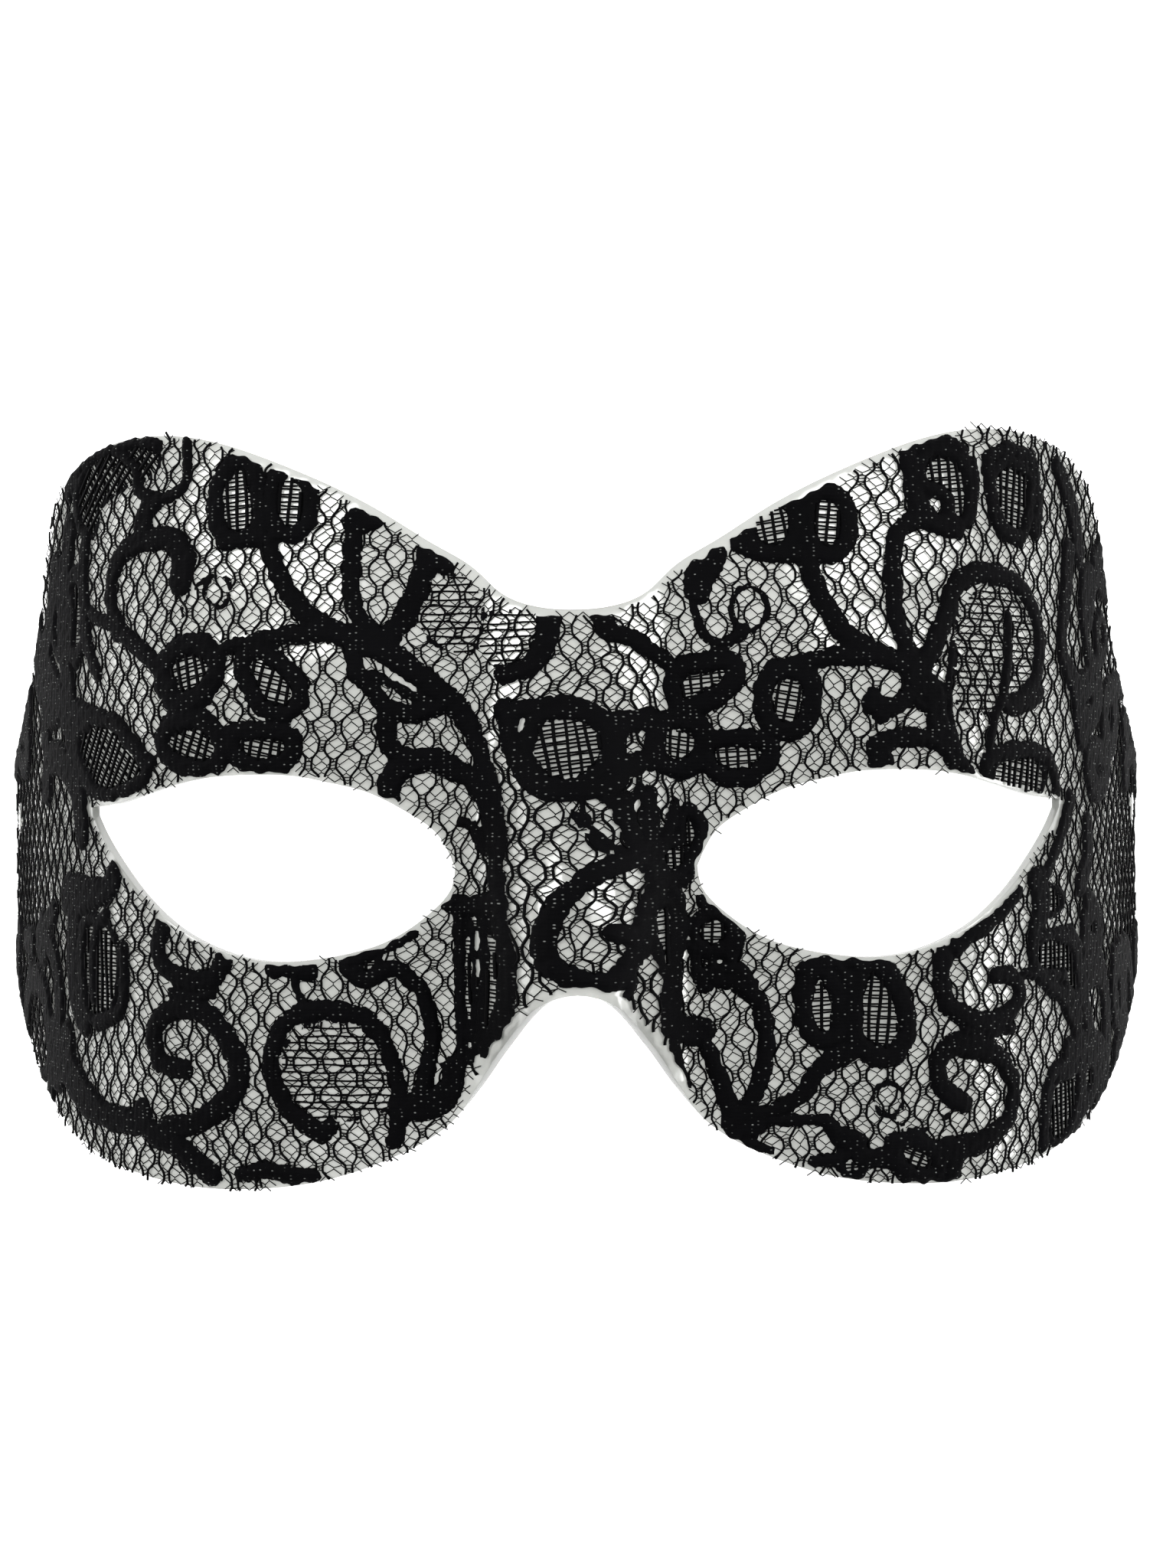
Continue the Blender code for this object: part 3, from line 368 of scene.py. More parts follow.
# Closed leaves and petals filled with ladder stitch: rim width in millimetres, lean of the ladder in
# degrees, then the rim's points. A rim thinner than half a millimetre holds rungs over the net
ladderLeaves = {
    "topLeftLeaf": (0.5, -48, (206, 582), (160, 592), (128, 610), (112, 650), (120, 690), (134, 700),
        (146, 660), (176, 636), (208, 622), (218, 600)),
    "browLeafOuter": (2.0, 4, (330, 604), (302, 616), (288, 650), (292, 692), (318, 706), (342, 692),
        (346, 664), (340, 632)),
    "browLeafInner": (1.9, -3, (378, 612), (360, 636), (358, 672), (372, 698), (398, 694), (410, 662),
        (402, 630)),
    "petalUpperLeft": (2.3, 12, (264, 842), (232, 854), (222, 888), (238, 914), (272, 906), (290, 874),
        (284, 852)),
    "petalUpperRight": (1.9, -14, (344, 852), (322, 866), (330, 892), (348, 922), (380, 930), (396, 902),
        (378, 872)),
    "petalLowerLeft": (2.2, -20, (256, 936), (226, 950), (224, 978), (250, 998), (284, 1000), (298, 974),
        (284, 946)),
    "petalLowerRight": (2.0, -12, (340, 950), (308, 956), (316, 984), (344, 1000), (376, 994), (386, 966),
        (368, 950)),
    "outerLeaf": (1.8, -34, (150, 936), (118, 946), (112, 980), (126, 1016), (152, 1036), (180, 1026),
        (202, 1004), (184, 968), (168, 946)),
    "cheekOval": (0.3, 0, (446, 1330), (402, 1336), (374, 1370), (372, 1410), (396, 1448), (436, 1462),
        (476, 1452), (508, 1440), (514, 1400), (498, 1356), (474, 1334)),
    "bell": (1.6, 8, (738, 934), (708, 942), (694, 972), (700, 1004), (722, 1026), (758, 1026), (784, 1004),
        (790, 966), (770, 940)),
    "bridgePetalUpper": (2.2, 6, (926, 864), (890, 872), (876, 894), (884, 920), (912, 918), (942, 904),
        (960, 880), (950, 862)),
    "bridgePetalOuter": (2.1, -10, (1032, 872), (1004, 882), (996, 910), (1004, 944), (1034, 950),
        (1056, 928), (1056, 890)),
    "bridgePetalLower": (2.3, -6, (884, 938), (854, 946), (848, 974), (862, 998), (894, 1002), (916, 980),
        (918, 952)),
    "bridgePetalFoot": (2.0, 4, (956, 962), (922, 968), (922, 992), (944, 1012), (980, 1010), (1004, 988),
        (1000, 966)),
    "browLeafInnerRight": (2.0, 10, (1012, 654), (984, 668), (972, 692), (978, 712), (1004, 724),
        (1030, 716), (1040, 688), (1034, 662)),
    "browLeafOuterRight": (2.0, -4, (1074, 640), (1054, 656), (1050, 692), (1062, 720), (1088, 724),
        (1104, 700), (1100, 662)),
    "topLeafLeft": (1.8, 6, (1214, 588), (1196, 604), (1200, 634), (1228, 650), (1236, 684), (1256, 676),
        (1258, 630), (1244, 600)),
    "topLeafRight": (1.8, -6, (1306, 602), (1286, 620), (1288, 656), (1302, 690), (1324, 698), (1332, 670),
        (1334, 624)),
    "templeOval": (0.3, 0, (1290, 764), (1258, 782), (1242, 820), (1240, 870), (1244, 920), (1276, 930),
        (1320, 912), (1340, 870), (1340, 810), (1322, 774)),
    "lidBlock": (1.2, -8, (1316, 984), (1292, 994), (1286, 1020), (1310, 1034), (1344, 1038), (1352, 1006),
        (1340, 986)),
    "noseLeaf": (1.6, 0, (880, 1094), (858, 1100), (848, 1122), (858, 1142), (880, 1140), (896, 1116),
        (912, 1094), (908, 1064), (890, 1056), (882, 1072)),
    "noseStemLeaf": (1.4, 4, (850, 1180), (838, 1200), (844, 1230), (856, 1266), (872, 1256), (874, 1212),
        (866, 1182)),
    "lidLeafLadder": (1.6, 0, (926, 1188), (904, 1202), (904, 1226), (924, 1238), (948, 1232), (954, 1208),
        (944, 1190)),
    "stemLadder": (1.2, -14, (904, 1236), (898, 1252), (908, 1284), (926, 1284), (930, 1260), (922, 1240)),
    "cheekLeafInner": (2.0, 3, (1064, 1262), (1046, 1290), (1048, 1328), (1064, 1350), (1088, 1348),
        (1094, 1316), (1084, 1280)),
    "cheekLeafOuter": (2.2, -3, (1128, 1254), (1112, 1290), (1110, 1336), (1126, 1368), (1160, 1374),
        (1178, 1344), (1172, 1300), (1150, 1262)),
    "footLeafSmall": (1.2, 0, (1108, 1486), (1094, 1500), (1098, 1526), (1120, 1528), (1128, 1504)),
    "footLeaf": (1.6, -22, (1182, 1486), (1162, 1500), (1182, 1526), (1206, 1540), (1222, 1524),
        (1208, 1498)),
    "lidLadder": (1.0, 0, (478, 1226), (466, 1244), (474, 1266), (494, 1262), (496, 1236)),
    "noseLadderLeft": (1.0, 0, (632, 1192), (612, 1206), (612, 1270), (616, 1340), (640, 1350), (664, 1310),
        (664, 1230), (654, 1196)),
    "sideLadder": (1.2, 0, (140, 1196), (122, 1210), (120, 1270), (128, 1322), (150, 1326), (164, 1290),
        (164, 1230)),
    "rightSideLadder": (1.2, 0, (1362, 1216), (1344, 1232), (1346, 1262), (1376, 1272), (1384, 1300),
        (1398, 1296), (1396, 1250), (1386, 1224)),
    "rightFootLadder": (1.2, 4, (1380, 1398), (1362, 1420), (1360, 1480), (1376, 1484), (1396, 1450),
        (1414, 1420), (1424, 1386), (1404, 1382)),
    "sideBlockLadder": (1.0, 0, (1356, 1152), (1340, 1164), (1342, 1186), (1366, 1190), (1374, 1168)),
    "sideColumn": (1.0, 0, (112, 748), (104, 770), (104, 830), (112, 860), (122, 830), (120, 766)),
    "bridgeGridLeft": (0.3, 0, (600, 752), (556, 770), (546, 812), (574, 846), (620, 850), (632, 800),
        (624, 768)),
    "bridgeGrid": (0.3, 0, (668, 800), (636, 806), (626, 846), (646, 868), (690, 866), (704, 830),
        (700, 802)),
}
thinRings = {
    "browRing": (0.5, (292, 752), (278, 764), (278, 782), (294, 796), (306, 780), (306, 762)),
    "browRingRight": (0.6, (980, 768), (960, 776), (955, 800), (970, 826), (992, 818), (1002, 790)),
    "cheekRing": (0.55, (1156, 1408), (1138, 1418), (1138, 1438), (1154, 1452), (1172, 1440), (1172, 1420)),
}
looseStems = {
    "browLoop": (0.5, (286, 752), (262, 770), (246, 800), (262, 818)),
    "cheekLoop": (0.5, (1158, 1452), (1182, 1470), (1206, 1468), (1232, 1452)),
    "bridgeDrop": (0.8, (758, 1044), (766, 1076), (786, 1100), (806, 1116)),
    "bridgeDropLeft": (0.5, (742, 1044), (752, 1072), (774, 1104), (794, 1122)),
}

# The lace repeats along its length
laceRepeat = {"length": 62 * mm, "drop": 1.4 * mm, "sideFrom": 76 * mm}
# Swell of the stitched bands and of wide rims, and the extra width on the far sides
swell = {"band": 1.04, "rim": 1.18, "wideRim": 1.5, "side": 1.0 * mm, "sideFrom": 65 * mm, "sideOver": 8 * mm}
gridRim = 0.5 * mm


def tracedShapes():
    # Every band, rim and thin stem as (flat path, start radius, end radius, closed)
    bands = []
    for group in (browLeftBands, cheekLeftBands, bridgeBands, browRightBands, cheekRightBands):
        for startWidth, endWidth, *points in group.values():
            path = curveThrough(photoToFlat(points))
            bands.append((path, 0.5 * startWidth * mm, 0.5 * endWidth * mm, False))
    leaves = []
    for rimWidth, lean, *points in ladderLeaves.values():
        rim = curveThrough(photoToFlat(points), closed=True)
        leaves.append((rim, rimWidth * mm, lean))
        rimRadius = 0.5 * rimWidth * mm * (swell["rim"] if rimWidth > swell["wideRim"] else 1.0)
        bands.append((rim, rimRadius, rimRadius, True))
    for width, *points in thinRings.values():
        ring = curveThrough(photoToFlat(points), closed=True)
        bands.append((ring, 0.5 * width * mm, 0.5 * width * mm, True))
    for width, *points in looseStems.values():
        bands.append((curveThrough(photoToFlat(points)), 0.5 * width * mm, 0.5 * width * mm, False))
    return bands, leaves


def repeatedOnSides(bands, leaves):
    # The sides, which the photograph hardly shows, carry the next repeats of the same lace
    sideFrom = laceRepeat["sideFrom"]
    moreBands = []
    moreLeaves = []
    keptBands = [band for band in bands if abs(band[0][:, 0]).min() < sideFrom]
    keptLeaves = [leaf for leaf in leaves if abs(leaf[0][:, 0].mean()) < sideFrom]
    for side in (-1.0, 1.0):
        shift = np.array((side * laceRepeat["length"], -side * laceRepeat["drop"]))
        for path, start, end, closed in bands:
            moved = path + shift
            if side * moved[:, 0].mean() > sideFrom:
                moreBands.append((moved, start, end, closed))
        for rim, width, lean in leaves:
            moved = rim + shift
            if side * moved[:, 0].mean() > sideFrom:
                moreLeaves.append((moved, width, lean))
    return keptBands + moreBands, keptLeaves + moreLeaves


# Fields on an even grid over the flat wall: negative inside a shape, in metres
field = {"step": 0.3 * mm, "halfLength": 114 * mm, "halfHeight": 50 * mm}
fieldX = np.arange(-field["halfLength"], field["halfLength"] + 0.5 * field["step"], field["step"])
fieldY = np.arange(-field["halfHeight"], field["halfHeight"] + 0.5 * field["step"], field["step"])


def distanceToPath(places, path, closed=False):
    points = np.concatenate((path, path[:1])) if closed else path
    start = points[:-1]
    run = points[1:] - start
    length = np.maximum(np.sum(run * run, axis=1), 1e-18)
    nearest = np.full(len(places), 1.0)
    share = np.zeros(len(places))
    for index in range(len(start)):
        t = np.clip((places - start[index]) @ run[index] / length[index], 0.0, 1.0)
        gap = places - (start[index] + t[:, None] * run[index])
        far = np.sqrt(np.sum(gap * gap, axis=1))
        closer = far < nearest
        nearest = np.where(closer, far, nearest)
        share = np.where(closer, (index + t) / len(start), share)
    return nearest, share


def insideLoop(places, loop):
    inside = np.zeros(len(places), bool)
    end = np.roll(loop, -1, axis=0)
    for a, b in zip(loop, end):
        if a[1] == b[1]:
            continue
        spans = (a[1] > places[:, 1]) != (b[1] > places[:, 1])
        meet = a[0] + (places[:, 1] - a[1]) * (b[0] - a[0]) / (b[1] - a[1])
        inside ^= spans & (places[:, 0] < meet)
    return inside


def windowOf(path, margin):
    low = path.min(axis=0) - margin
    high = path.max(axis=0) + margin
    i0, i1 = np.searchsorted(fieldX, (low[0], high[0]))
    j0, j1 = np.searchsorted(fieldY, (low[1], high[1]))
    xs, ys = np.meshgrid(fieldX[i0:i1], fieldY[j0:j1])
    return (slice(j0, j1), slice(i0, i1)), np.stack((xs.ravel(), ys.ravel()), axis=1), xs.shape


def bandField(bands):
    values = np.full((len(fieldY), len(fieldX)), 9.0 * mm)
    for path, start, end, closed in bands:
        start, end = start * swell["band"], end * swell["band"]
        place, points, shape = windowOf(path, max(start, end) + 2.5 * mm)
        if not len(points):
            continue
        far, share = distanceToPath(points, path, closed)
        values[place] = np.minimum(values[place], (far - (start + (end - start) * share)).reshape(shape))
    return values


def loopField(loop, reach):
    values = np.full((len(fieldY), len(fieldX)), 9.0 * mm)
    place, points, shape = windowOf(loop, reach)
    far, _ = distanceToPath(points, loop, True)
    inside = insideLoop(points, loop)
    values[place] = np.where(inside, -far, far).reshape(shape)
    return values


def sampled(values, places):
    # Reads a field between its grid points
    u = np.clip((places[:, 0] - fieldX[0]) / field["step"], 0, len(fieldX) - 1.001)
    v = np.clip((places[:, 1] - fieldY[0]) / field["step"], 0, len(fieldY) - 1.001)
    i = u.astype(int)
    j = v.astype(int)
    a = u - i
    b = v - j
    return ((values[j, i] * (1 - a) + values[j, i + 1] * a) * (1 - b)
            + (values[j + 1, i] * (1 - a) + values[j + 1, i + 1] * a) * b)


def rippleAt(places, size, seed):
    # Smooth pseudo-random ripple from a few crossed waves, from -1 to 1
    draw = np.random.default_rng(seed)
    total = np.zeros(len(places))
    for _ in range(6):
        angle = draw.uniform(0, 2 * math.pi)
        wave = draw.uniform(0.7, 1.5) * 2 * math.pi / size
        phase = draw.uniform(0, 2 * math.pi)
        total += np.sin((places[:, 0] * math.cos(angle) + places[:, 1] * math.sin(angle)) * wave + phase)
    return total / 3.0


def uvFromFlat(bm, flatOf):
    layer = bm.loops.layers.uv.new("laidFlat")
    for face in bm.faces:
        for loop in face.loops:
            x, y = flatOf[loop.vert]
            loop[layer].uv = (x * 10.0, y * 10.0)       # one unit is 100 mm


def addPiece(name, bm, material, smooth=True):
    mesh = bpy.data.meshes.new(name)
    bm.to_mesh(mesh)
    bm.free()
    piece = bpy.data.objects.new(name, mesh)
    bpy.context.scene.collection.objects.link(piece)
    mesh.materials.append(material)
    mesh.polygons.foreach_set("use_smooth", np.full(len(mesh.polygons), smooth))
    return piece


def newMaterial(name):
    material = bpy.data.materials.new(name)
    material.use_nodes = True
    tree = material.node_tree
    return material, tree.nodes, tree.links, tree.nodes["Principled BSDF"]


def node(nodes, kind, place, **settings):
    made = nodes.new(kind)
    made.location = place
    for key, value in settings.items():
        if key.startswith("in_"):
            made.inputs[key[3:].replace("_", " ")].default_value = value
        else:
            setattr(made, key, value)
    return made


clearPlastic = {"tint": (0.66, 0.67, 0.64), "roughness": 0.10, "transmission": 0.55, "ior": 1.55}


def makeClearPlastic():
    material, nodes, links, shader = newMaterial("clearPlastic")
    shader.inputs["Base Color"].default_value = (*clearPlastic["tint"], 1.0)
    shader.inputs["Transmission Weight"].default_value = clearPlastic["transmission"]
    shader.inputs["IOR"].default_value = clearPlastic["ior"]
    shader.inputs["Coat Weight"].default_value = 0.6
    shader.inputs["Coat Roughness"].default_value = 0.12
    place = node(nodes, "ShaderNodeTexCoord", (-900, 0))
    cloud = node(nodes, "ShaderNodeTexNoise", (-650, 0), in_Scale=60.0, in_Detail=3.0)
    rough = node(nodes, "ShaderNodeMapRange", (-400, 0))
    rough.inputs["To Min"].default_value = clearPlastic["roughness"] * 0.7
    rough.inputs["To Max"].default_value = clearPlastic["roughness"] * 1.5
    wave = node(nodes, "ShaderNodeTexNoise", (-650, -300), in_Scale=220.0, in_Detail=2.0)
    bump = node(nodes, "ShaderNodeBump", (-300, -300), in_Strength=0.7, in_Distance=0.25 * mm)
    links.new(place.outputs["Object"], cloud.inputs["Vector"])
    links.new(place.outputs["Object"], wave.inputs["Vector"])
    links.new(cloud.outputs["Fac"], rough.inputs["Value"])
    links.new(rough.outputs["Result"], shader.inputs["Roughness"])
    links.new(wave.outputs["Fac"], bump.inputs["Height"])
    links.new(bump.outputs["Normal"], shader.inputs["Normal"])
    return material


threadFinish = {"sheen": 0.01, "sheenRoughness": 0.4, "gloss": 0.03}
blackThread = {"colour": (0.0016, 0.0016, 0.0019), "roughness": 0.6}


def makeBlackThread():
    material, nodes, links, shader = newMaterial("blackThread")
    shader.inputs["Base Color"].default_value = (*blackThread["colour"], 1.0)
    shader.inputs["Roughness"].default_value = blackThread["roughness"]
    shader.inputs["Specular IOR Level"].default_value = threadFinish["gloss"]
    shader.inputs["Sheen Weight"].default_value = threadFinish["sheen"]
    shader.inputs["Sheen Roughness"].default_value = threadFinish["sheenRoughness"]
    place = node(nodes, "ShaderNodeTexCoord", (-900, 0))
    twist = node(nodes, "ShaderNodeTexNoise", (-650, -200), in_Scale=2600.0, in_Detail=1.0)
    bump = node(nodes, "ShaderNodeBump", (-300, -200), in_Strength=0.5, in_Distance=0.05 * mm)
    links.new(place.outputs["Object"], twist.inputs["Vector"])
    links.new(twist.outputs["Fac"], bump.inputs["Height"])
    links.new(bump.outputs["Normal"], shader.inputs["Normal"])
    return material


stitchCloth = {
    "black": (0.0008, 0.0008, 0.0010),
    "worn": (0.0035, 0.0035, 0.0042),
    "pinhole": (0.22, 0.23, 0.22),
    "rowPitch": 0.46 * mm,
    "rowLength": 0.80 * mm,
}


def makeStitchCloth():
    # Dense rows of stitches with a pinhole here and there between them
    material, nodes, links, shader = newMaterial("stitchCloth")
    shader.inputs["Roughness"].default_value = 0.7
    shader.inputs["Specular IOR Level"].default_value = threadFinish["gloss"]
    shader.inputs["Sheen Weight"].default_value = threadFinish["sheen"]
    shader.inputs["Sheen Roughness"].default_value = threadFinish["sheenRoughness"]
    uv = node(nodes, "ShaderNodeUVMap", (-1300, 0), uv_map="laidFlat")
    perUnit = 100 * mm
    mapping = node(nodes, "ShaderNodeMapping", (-1100, 0))
    mapping.inputs["Scale"].default_value = (
        perUnit / stitchCloth["rowLength"], perUnit / stitchCloth["rowPitch"], 1.0)
    cells = node(nodes, "ShaderNodeTexVoronoi", (-850, 0), feature="F1")
    cells.inputs["Scale"].default_value = 1.0
    cells.inputs["Randomness"].default_value = 0.35
    hole = node(nodes, "ShaderNodeMapRange", (-600, 0))
    hole.inputs["From Min"].default_value = 0.10
    hole.inputs["From Max"].default_value = 0.20
    hole.inputs["To Min"].default_value = 1.0
    hole.inputs["To Max"].default_value = 0.0
    pick = node(nodes, "ShaderNodeMapRange", (-600, -300))
    pick.inputs["From Min"].default_value = 0.35
    pick.inputs["From Max"].default_value = 0.85
    split = node(nodes, "ShaderNodeSeparateColor", (-720, -300))
    both = node(nodes, "ShaderNodeMath", (-400, -100), operation="MULTIPLY")
    cloud = node(nodes, "ShaderNodeTexNoise", (-850, 300), in_Scale=9.0, in_Detail=6.0)
    wear = node(nodes, "ShaderNodeMix", (-400, 300), data_type="RGBA")
    wear.inputs["A"].default_value = (*stitchCloth["black"], 1.0)
    wear.inputs["B"].default_value = (*stitchCloth["worn"], 1.0)
    paint = node(nodes, "ShaderNodeMix", (-200, 100), data_type="RGBA")
    paint.inputs["B"].default_value = (*stitchCloth["pinhole"], 1.0)
    bump = node(nodes, "ShaderNodeBump", (-200, -300), in_Strength=0.8, in_Distance=0.10 * mm)
    links.new(uv.outputs["UV"], mapping.inputs["Vector"])
    links.new(mapping.outputs["Vector"], cells.inputs["Vector"])
    links.new(uv.outputs["UV"], cloud.inputs["Vector"])
    links.new(cells.outputs["Distance"], hole.inputs["Value"])
    links.new(cells.outputs["Color"], split.inputs["Color"])
    links.new(split.outputs["Red"], pick.inputs["Value"])
    links.new(hole.outputs["Result"], both.inputs[0])
    links.new(pick.outputs["Result"], both.inputs[1])
    links.new(cloud.outputs["Fac"], wear.inputs["Factor"])
    links.new(wear.outputs["Result"], paint.inputs["A"])
    links.new(both.outputs["Value"], paint.inputs["Factor"])
    links.new(paint.outputs["Result"], shader.inputs["Base Color"])
    links.new(cells.outputs["Distance"], bump.inputs["Height"])
    links.new(bump.outputs["Normal"], shader.inputs["Normal"])
    return material


def trimmedGrid(values, step, xRange, spread):
    # An even bmesh grid over the flat wall, trimmed to where the field is negative, its rim drawn to zero
    columns = int(round((xRange[1] - xRange[0]) / step))
    rows = int(round(2 * spread / step))
    bm = bmesh.new()
    bmesh.ops.create_grid(bm, x_segments=columns, y_segments=rows, size=0.5)
    co = np.empty(len(bm.verts) * 3)
    mesh = bpy.data.meshes.new("trimming")
    bm.to_mesh(mesh)
    mesh.vertices.foreach_get("co", co)
    bpy.data.meshes.remove(mesh)
    co = co.reshape(-1, 3)[:, :2]
    flat = np.stack((xRange[0] + (co[:, 0] + 0.5) * (xRange[1] - xRange[0]), co[:, 1] * 2 * spread), axis=1)
    depth = sampled(values, flat)
    bm.verts.ensure_lookup_table()
    unwanted = [face for face in bm.faces if sum(depth[v.index] for v in face.verts) > 0.0]
    for vert, place in zip(bm.verts, flat):
        vert.co = (place[0], place[1], 0.0)
    bmesh.ops.delete(bm, geom=unwanted, context="FACES")
    rim = [vert for vert in bm.verts if vert.is_boundary]
    for _ in range(2):
        places = np.array([vert.co[:2] for vert in rim])
        nudge = 0.1 * mm
        here = sampled(values, places)
        slopeX = (sampled(values, places + (nudge, 0)) - sampled(values, places - (nudge, 0))) / (2 * nudge)
        slopeY = (sampled(values, places + (0, nudge)) - sampled(values, places - (0, nudge))) / (2 * nudge)
        size = np.maximum(slopeX ** 2 + slopeY ** 2, 0.3)
        move = np.stack((slopeX, slopeY), axis=1) * (-here / size)[:, None]
        length = np.linalg.norm(move, axis=1)
        move *= np.minimum(1.0, 0.55 * step / np.maximum(length, 1e-9))[:, None]
        for vert, (moveX, moveY) in zip(rim, move):
            vert.co.x += moveX
            vert.co.y += moveY
    return bm


def flatOfVerts(bm):
    return np.array([vert.co[:2] for vert in bm.verts])


shell = {"wall": 1.0 * mm, "step": 1.1 * mm, "rimRound": 0.25 * mm}


def buildShell(outlineField, eyeFields, tieField, material):
    solid = np.maximum.reduce([outlineField] + [-f for f in eyeFields] + [-tieField])
    bm = trimmedGrid(solid, shell["step"], (-1.03 * rearArc, 1.03 * rearArc), field["halfHeight"])
    flat = flatOfVerts(bm)
    for vert, place in zip(bm.verts, bend(flat, 0.0)):
        vert.co = place
    bmesh.ops.bisect_plane(bm, geom=bm.verts[:] + bm.edges[:] + bm.faces[:], dist=0.01 * mm,
                           plane_co=(0.0, 0.0, 0.0), plane_no=(0.0, 0.0, 1.0), clear_inner=True)
    bm.normal_update()
    below = [face for face in bm.faces if face.normal.z < 0]
    if len(below) > len(bm.faces) / 2:
        bmesh.ops.reverse_faces(bm, faces=bm.faces[:])
    piece = addPiece("clearShell", bm, material)
    wall = piece.modifiers.new("wall", "SOLIDIFY")
    wall.thickness = shell["wall"]
    wall.offset = 1.0
    wall.use_even_offset = True
    rim = piece.modifiers.new("roundedRim", "BEVEL")
    rim.width = shell["rimRound"]
    rim.segments = 2
    rim.limit_method = "ANGLE"
    rim.angle_limit = math.radians(50)
    return piece


stitch = {
    "step": 0.32 * mm,
    "base": 1.15 * mm,
    "edgeRise": 0.10 * mm,
    "middleRise": 0.42 * mm,
    "shoulder": 0.7 * mm,
}


def buildStitchCloth(name, clothField, xRange, material):
    bm = trimmedGrid(clothField, stitch["step"], xRange, field["halfHeight"])
    flat = flatOfVerts(bm)
    width, length = flat.max(axis=0) - flat.min(axis=0)
    cut = {"flat": (width, length), "area": sum(face.calc_area() for face in bm.faces)}
    depth = np.maximum(-sampled(clothField, flat), 0.0)
    lift = stitch["base"] + stitch["edgeRise"] + stitch["middleRise"] * smoothStep(depth / stitch["shoulder"])
    lift += 0.05 * mm * rippleAt(flat, 1.6 * mm, 5) * np.minimum(depth / (0.4 * mm), 1.0)
    uvFromFlat(bm, {vert: tuple(place) for vert, place in zip(bm.verts, flat)})
    for vert, place in zip(bm.verts, bend(flat, lift)):
        vert.co = place
    bm.normal_update()
    print(name, len(bm.faces), "faces")
    return addPiece(name, bm, material), cut


def threadsMesh(name, paths, radius, sides, lift, material, flatten=0.7):
    # Joined thin tubes that follow flat paths over the form
    verts = []
    faces = []
    for path in paths:
        if len(path) < 2:
            continue
        path = np.asarray(path)
        along = np.gradient(path, axis=0)
        along /= np.maximum(np.linalg.norm(along, axis=1), 1e-12)[:, None]
        across = np.stack((-along[:, 1], along[:, 0]), axis=1)
        first = len(verts)
        rings = []
        for side in range(sides):
            turn = 2 * math.pi * (side + 0.5) / sides
            offset = path + across * (radius * math.cos(turn))
            rings.append(bend(offset, lift + radius * flatten * (1 + math.sin(turn))))
        block = np.stack(rings, axis=1).reshape(-1, 3)
        verts.extend(map(tuple, block))
        for index in range(len(path) - 1):
            base = first + index * sides
            for side in range(sides):
                after = (side + 1) % sides
                faces.append((base + side, base + sides + side, base + sides + after, base + after))
        faces.append(tuple(first + side for side in range(sides)))
        last = first + (len(path) - 1) * sides
        faces.append(tuple(last + side for side in reversed(range(sides))))
    mesh = bpy.data.meshes.new(name)
    mesh.from_pydata(verts, [], faces)
    mesh.materials.append(material)
    mesh.polygons.foreach_set("use_smooth", np.ones(len(mesh.polygons), bool))
    piece = bpy.data.objects.new(name, mesh)
    bpy.context.scene.collection.objects.link(piece)
    print(name, len(faces), "faces")
    return piece


def cutPath(path, blocked, shortest=2):
    # The stretches of a path that lie outside the blocked field
    free = sampled(blocked, path) > 0.0
    parts = []
    start = None
    for index, open_ in enumerate(free):
        if open_ and start is None:
            start = index
        if not open_ and start is not None:
            if index - start >= shortest:
                parts.append(path[max(start - 1, 0):index + 1])
            start = None
    if start is not None and len(path) - start >= shortest:
        parts.append(path[max(start - 1, 0):])
    return parts


def warped(path):
    # The glued net is pulled a little out of true
    shiftX = 0.55 * mm * rippleAt(path, 17 * mm, 11) + 0.20 * mm * rippleAt(path, 4.5 * mm, 12)
    shiftY = 0.55 * mm * rippleAt(path, 19 * mm, 13) + 0.20 * mm * rippleAt(path, 5.0 * mm, 14)
    return path + np.stack((shiftX, shiftY), axis=1)


coarseNet = {
    "pitch": 1.62 * mm,
    "wave": 4.5 * mm,
    "swing": 0.44 * mm,
    "radius": 0.185 * mm,
    "step": 0.42 * mm,
    "sides": 4,
    "tiePitch": 0.42 * mm,
    "tieRadius": 0.085 * mm,
}


def chainX(index, y):
    turn = math.pi * (index % 2)
    swing = np.clip(1.4 * np.sin(2 * math.pi * y / coarseNet["wave"] + turn), -1.0, 1.0)
    return index * coarseNet["pitch"] + coarseNet["swing"] * swing


def coarseNetPaths():
    # Wavy chains side by side: neighbours close up and part again, with short ties where they are close
    chains = []
    ties = []
    count = int(field["halfLength"] / coarseNet["pitch"])
    y = np.arange(-field["halfHeight"], field["halfHeight"], coarseNet["step"])
    for index in range(-count, count + 1):
        chains.append(warped(np.stack((chainX(index, y), y), axis=1)))
        close = 0.25 if index % 2 == 0 else 0.75
        rows = int(field["halfHeight"] / coarseNet["wave"])
        for row in range(-rows, rows):
            for step in (-1.5, -0.5, 0.5, 1.5):
                height = (row + close) * coarseNet["wave"] + step * coarseNet["tiePitch"]
                ends = np.array((height - 0.06 * mm, height + 0.05 * mm))
                sides = (chainX(index, ends)[0], chainX(index + 1, ends)[1])
                ties.append(warped(np.array(((sides[0], ends[0]), (sides[1], ends[1])))))
    return chains, ties


fineNet = {"pitch": 0.80 * mm, "wave": 1.52 * mm, "twist": 0.13, "radius": 0.08 * mm, "sides": 3}


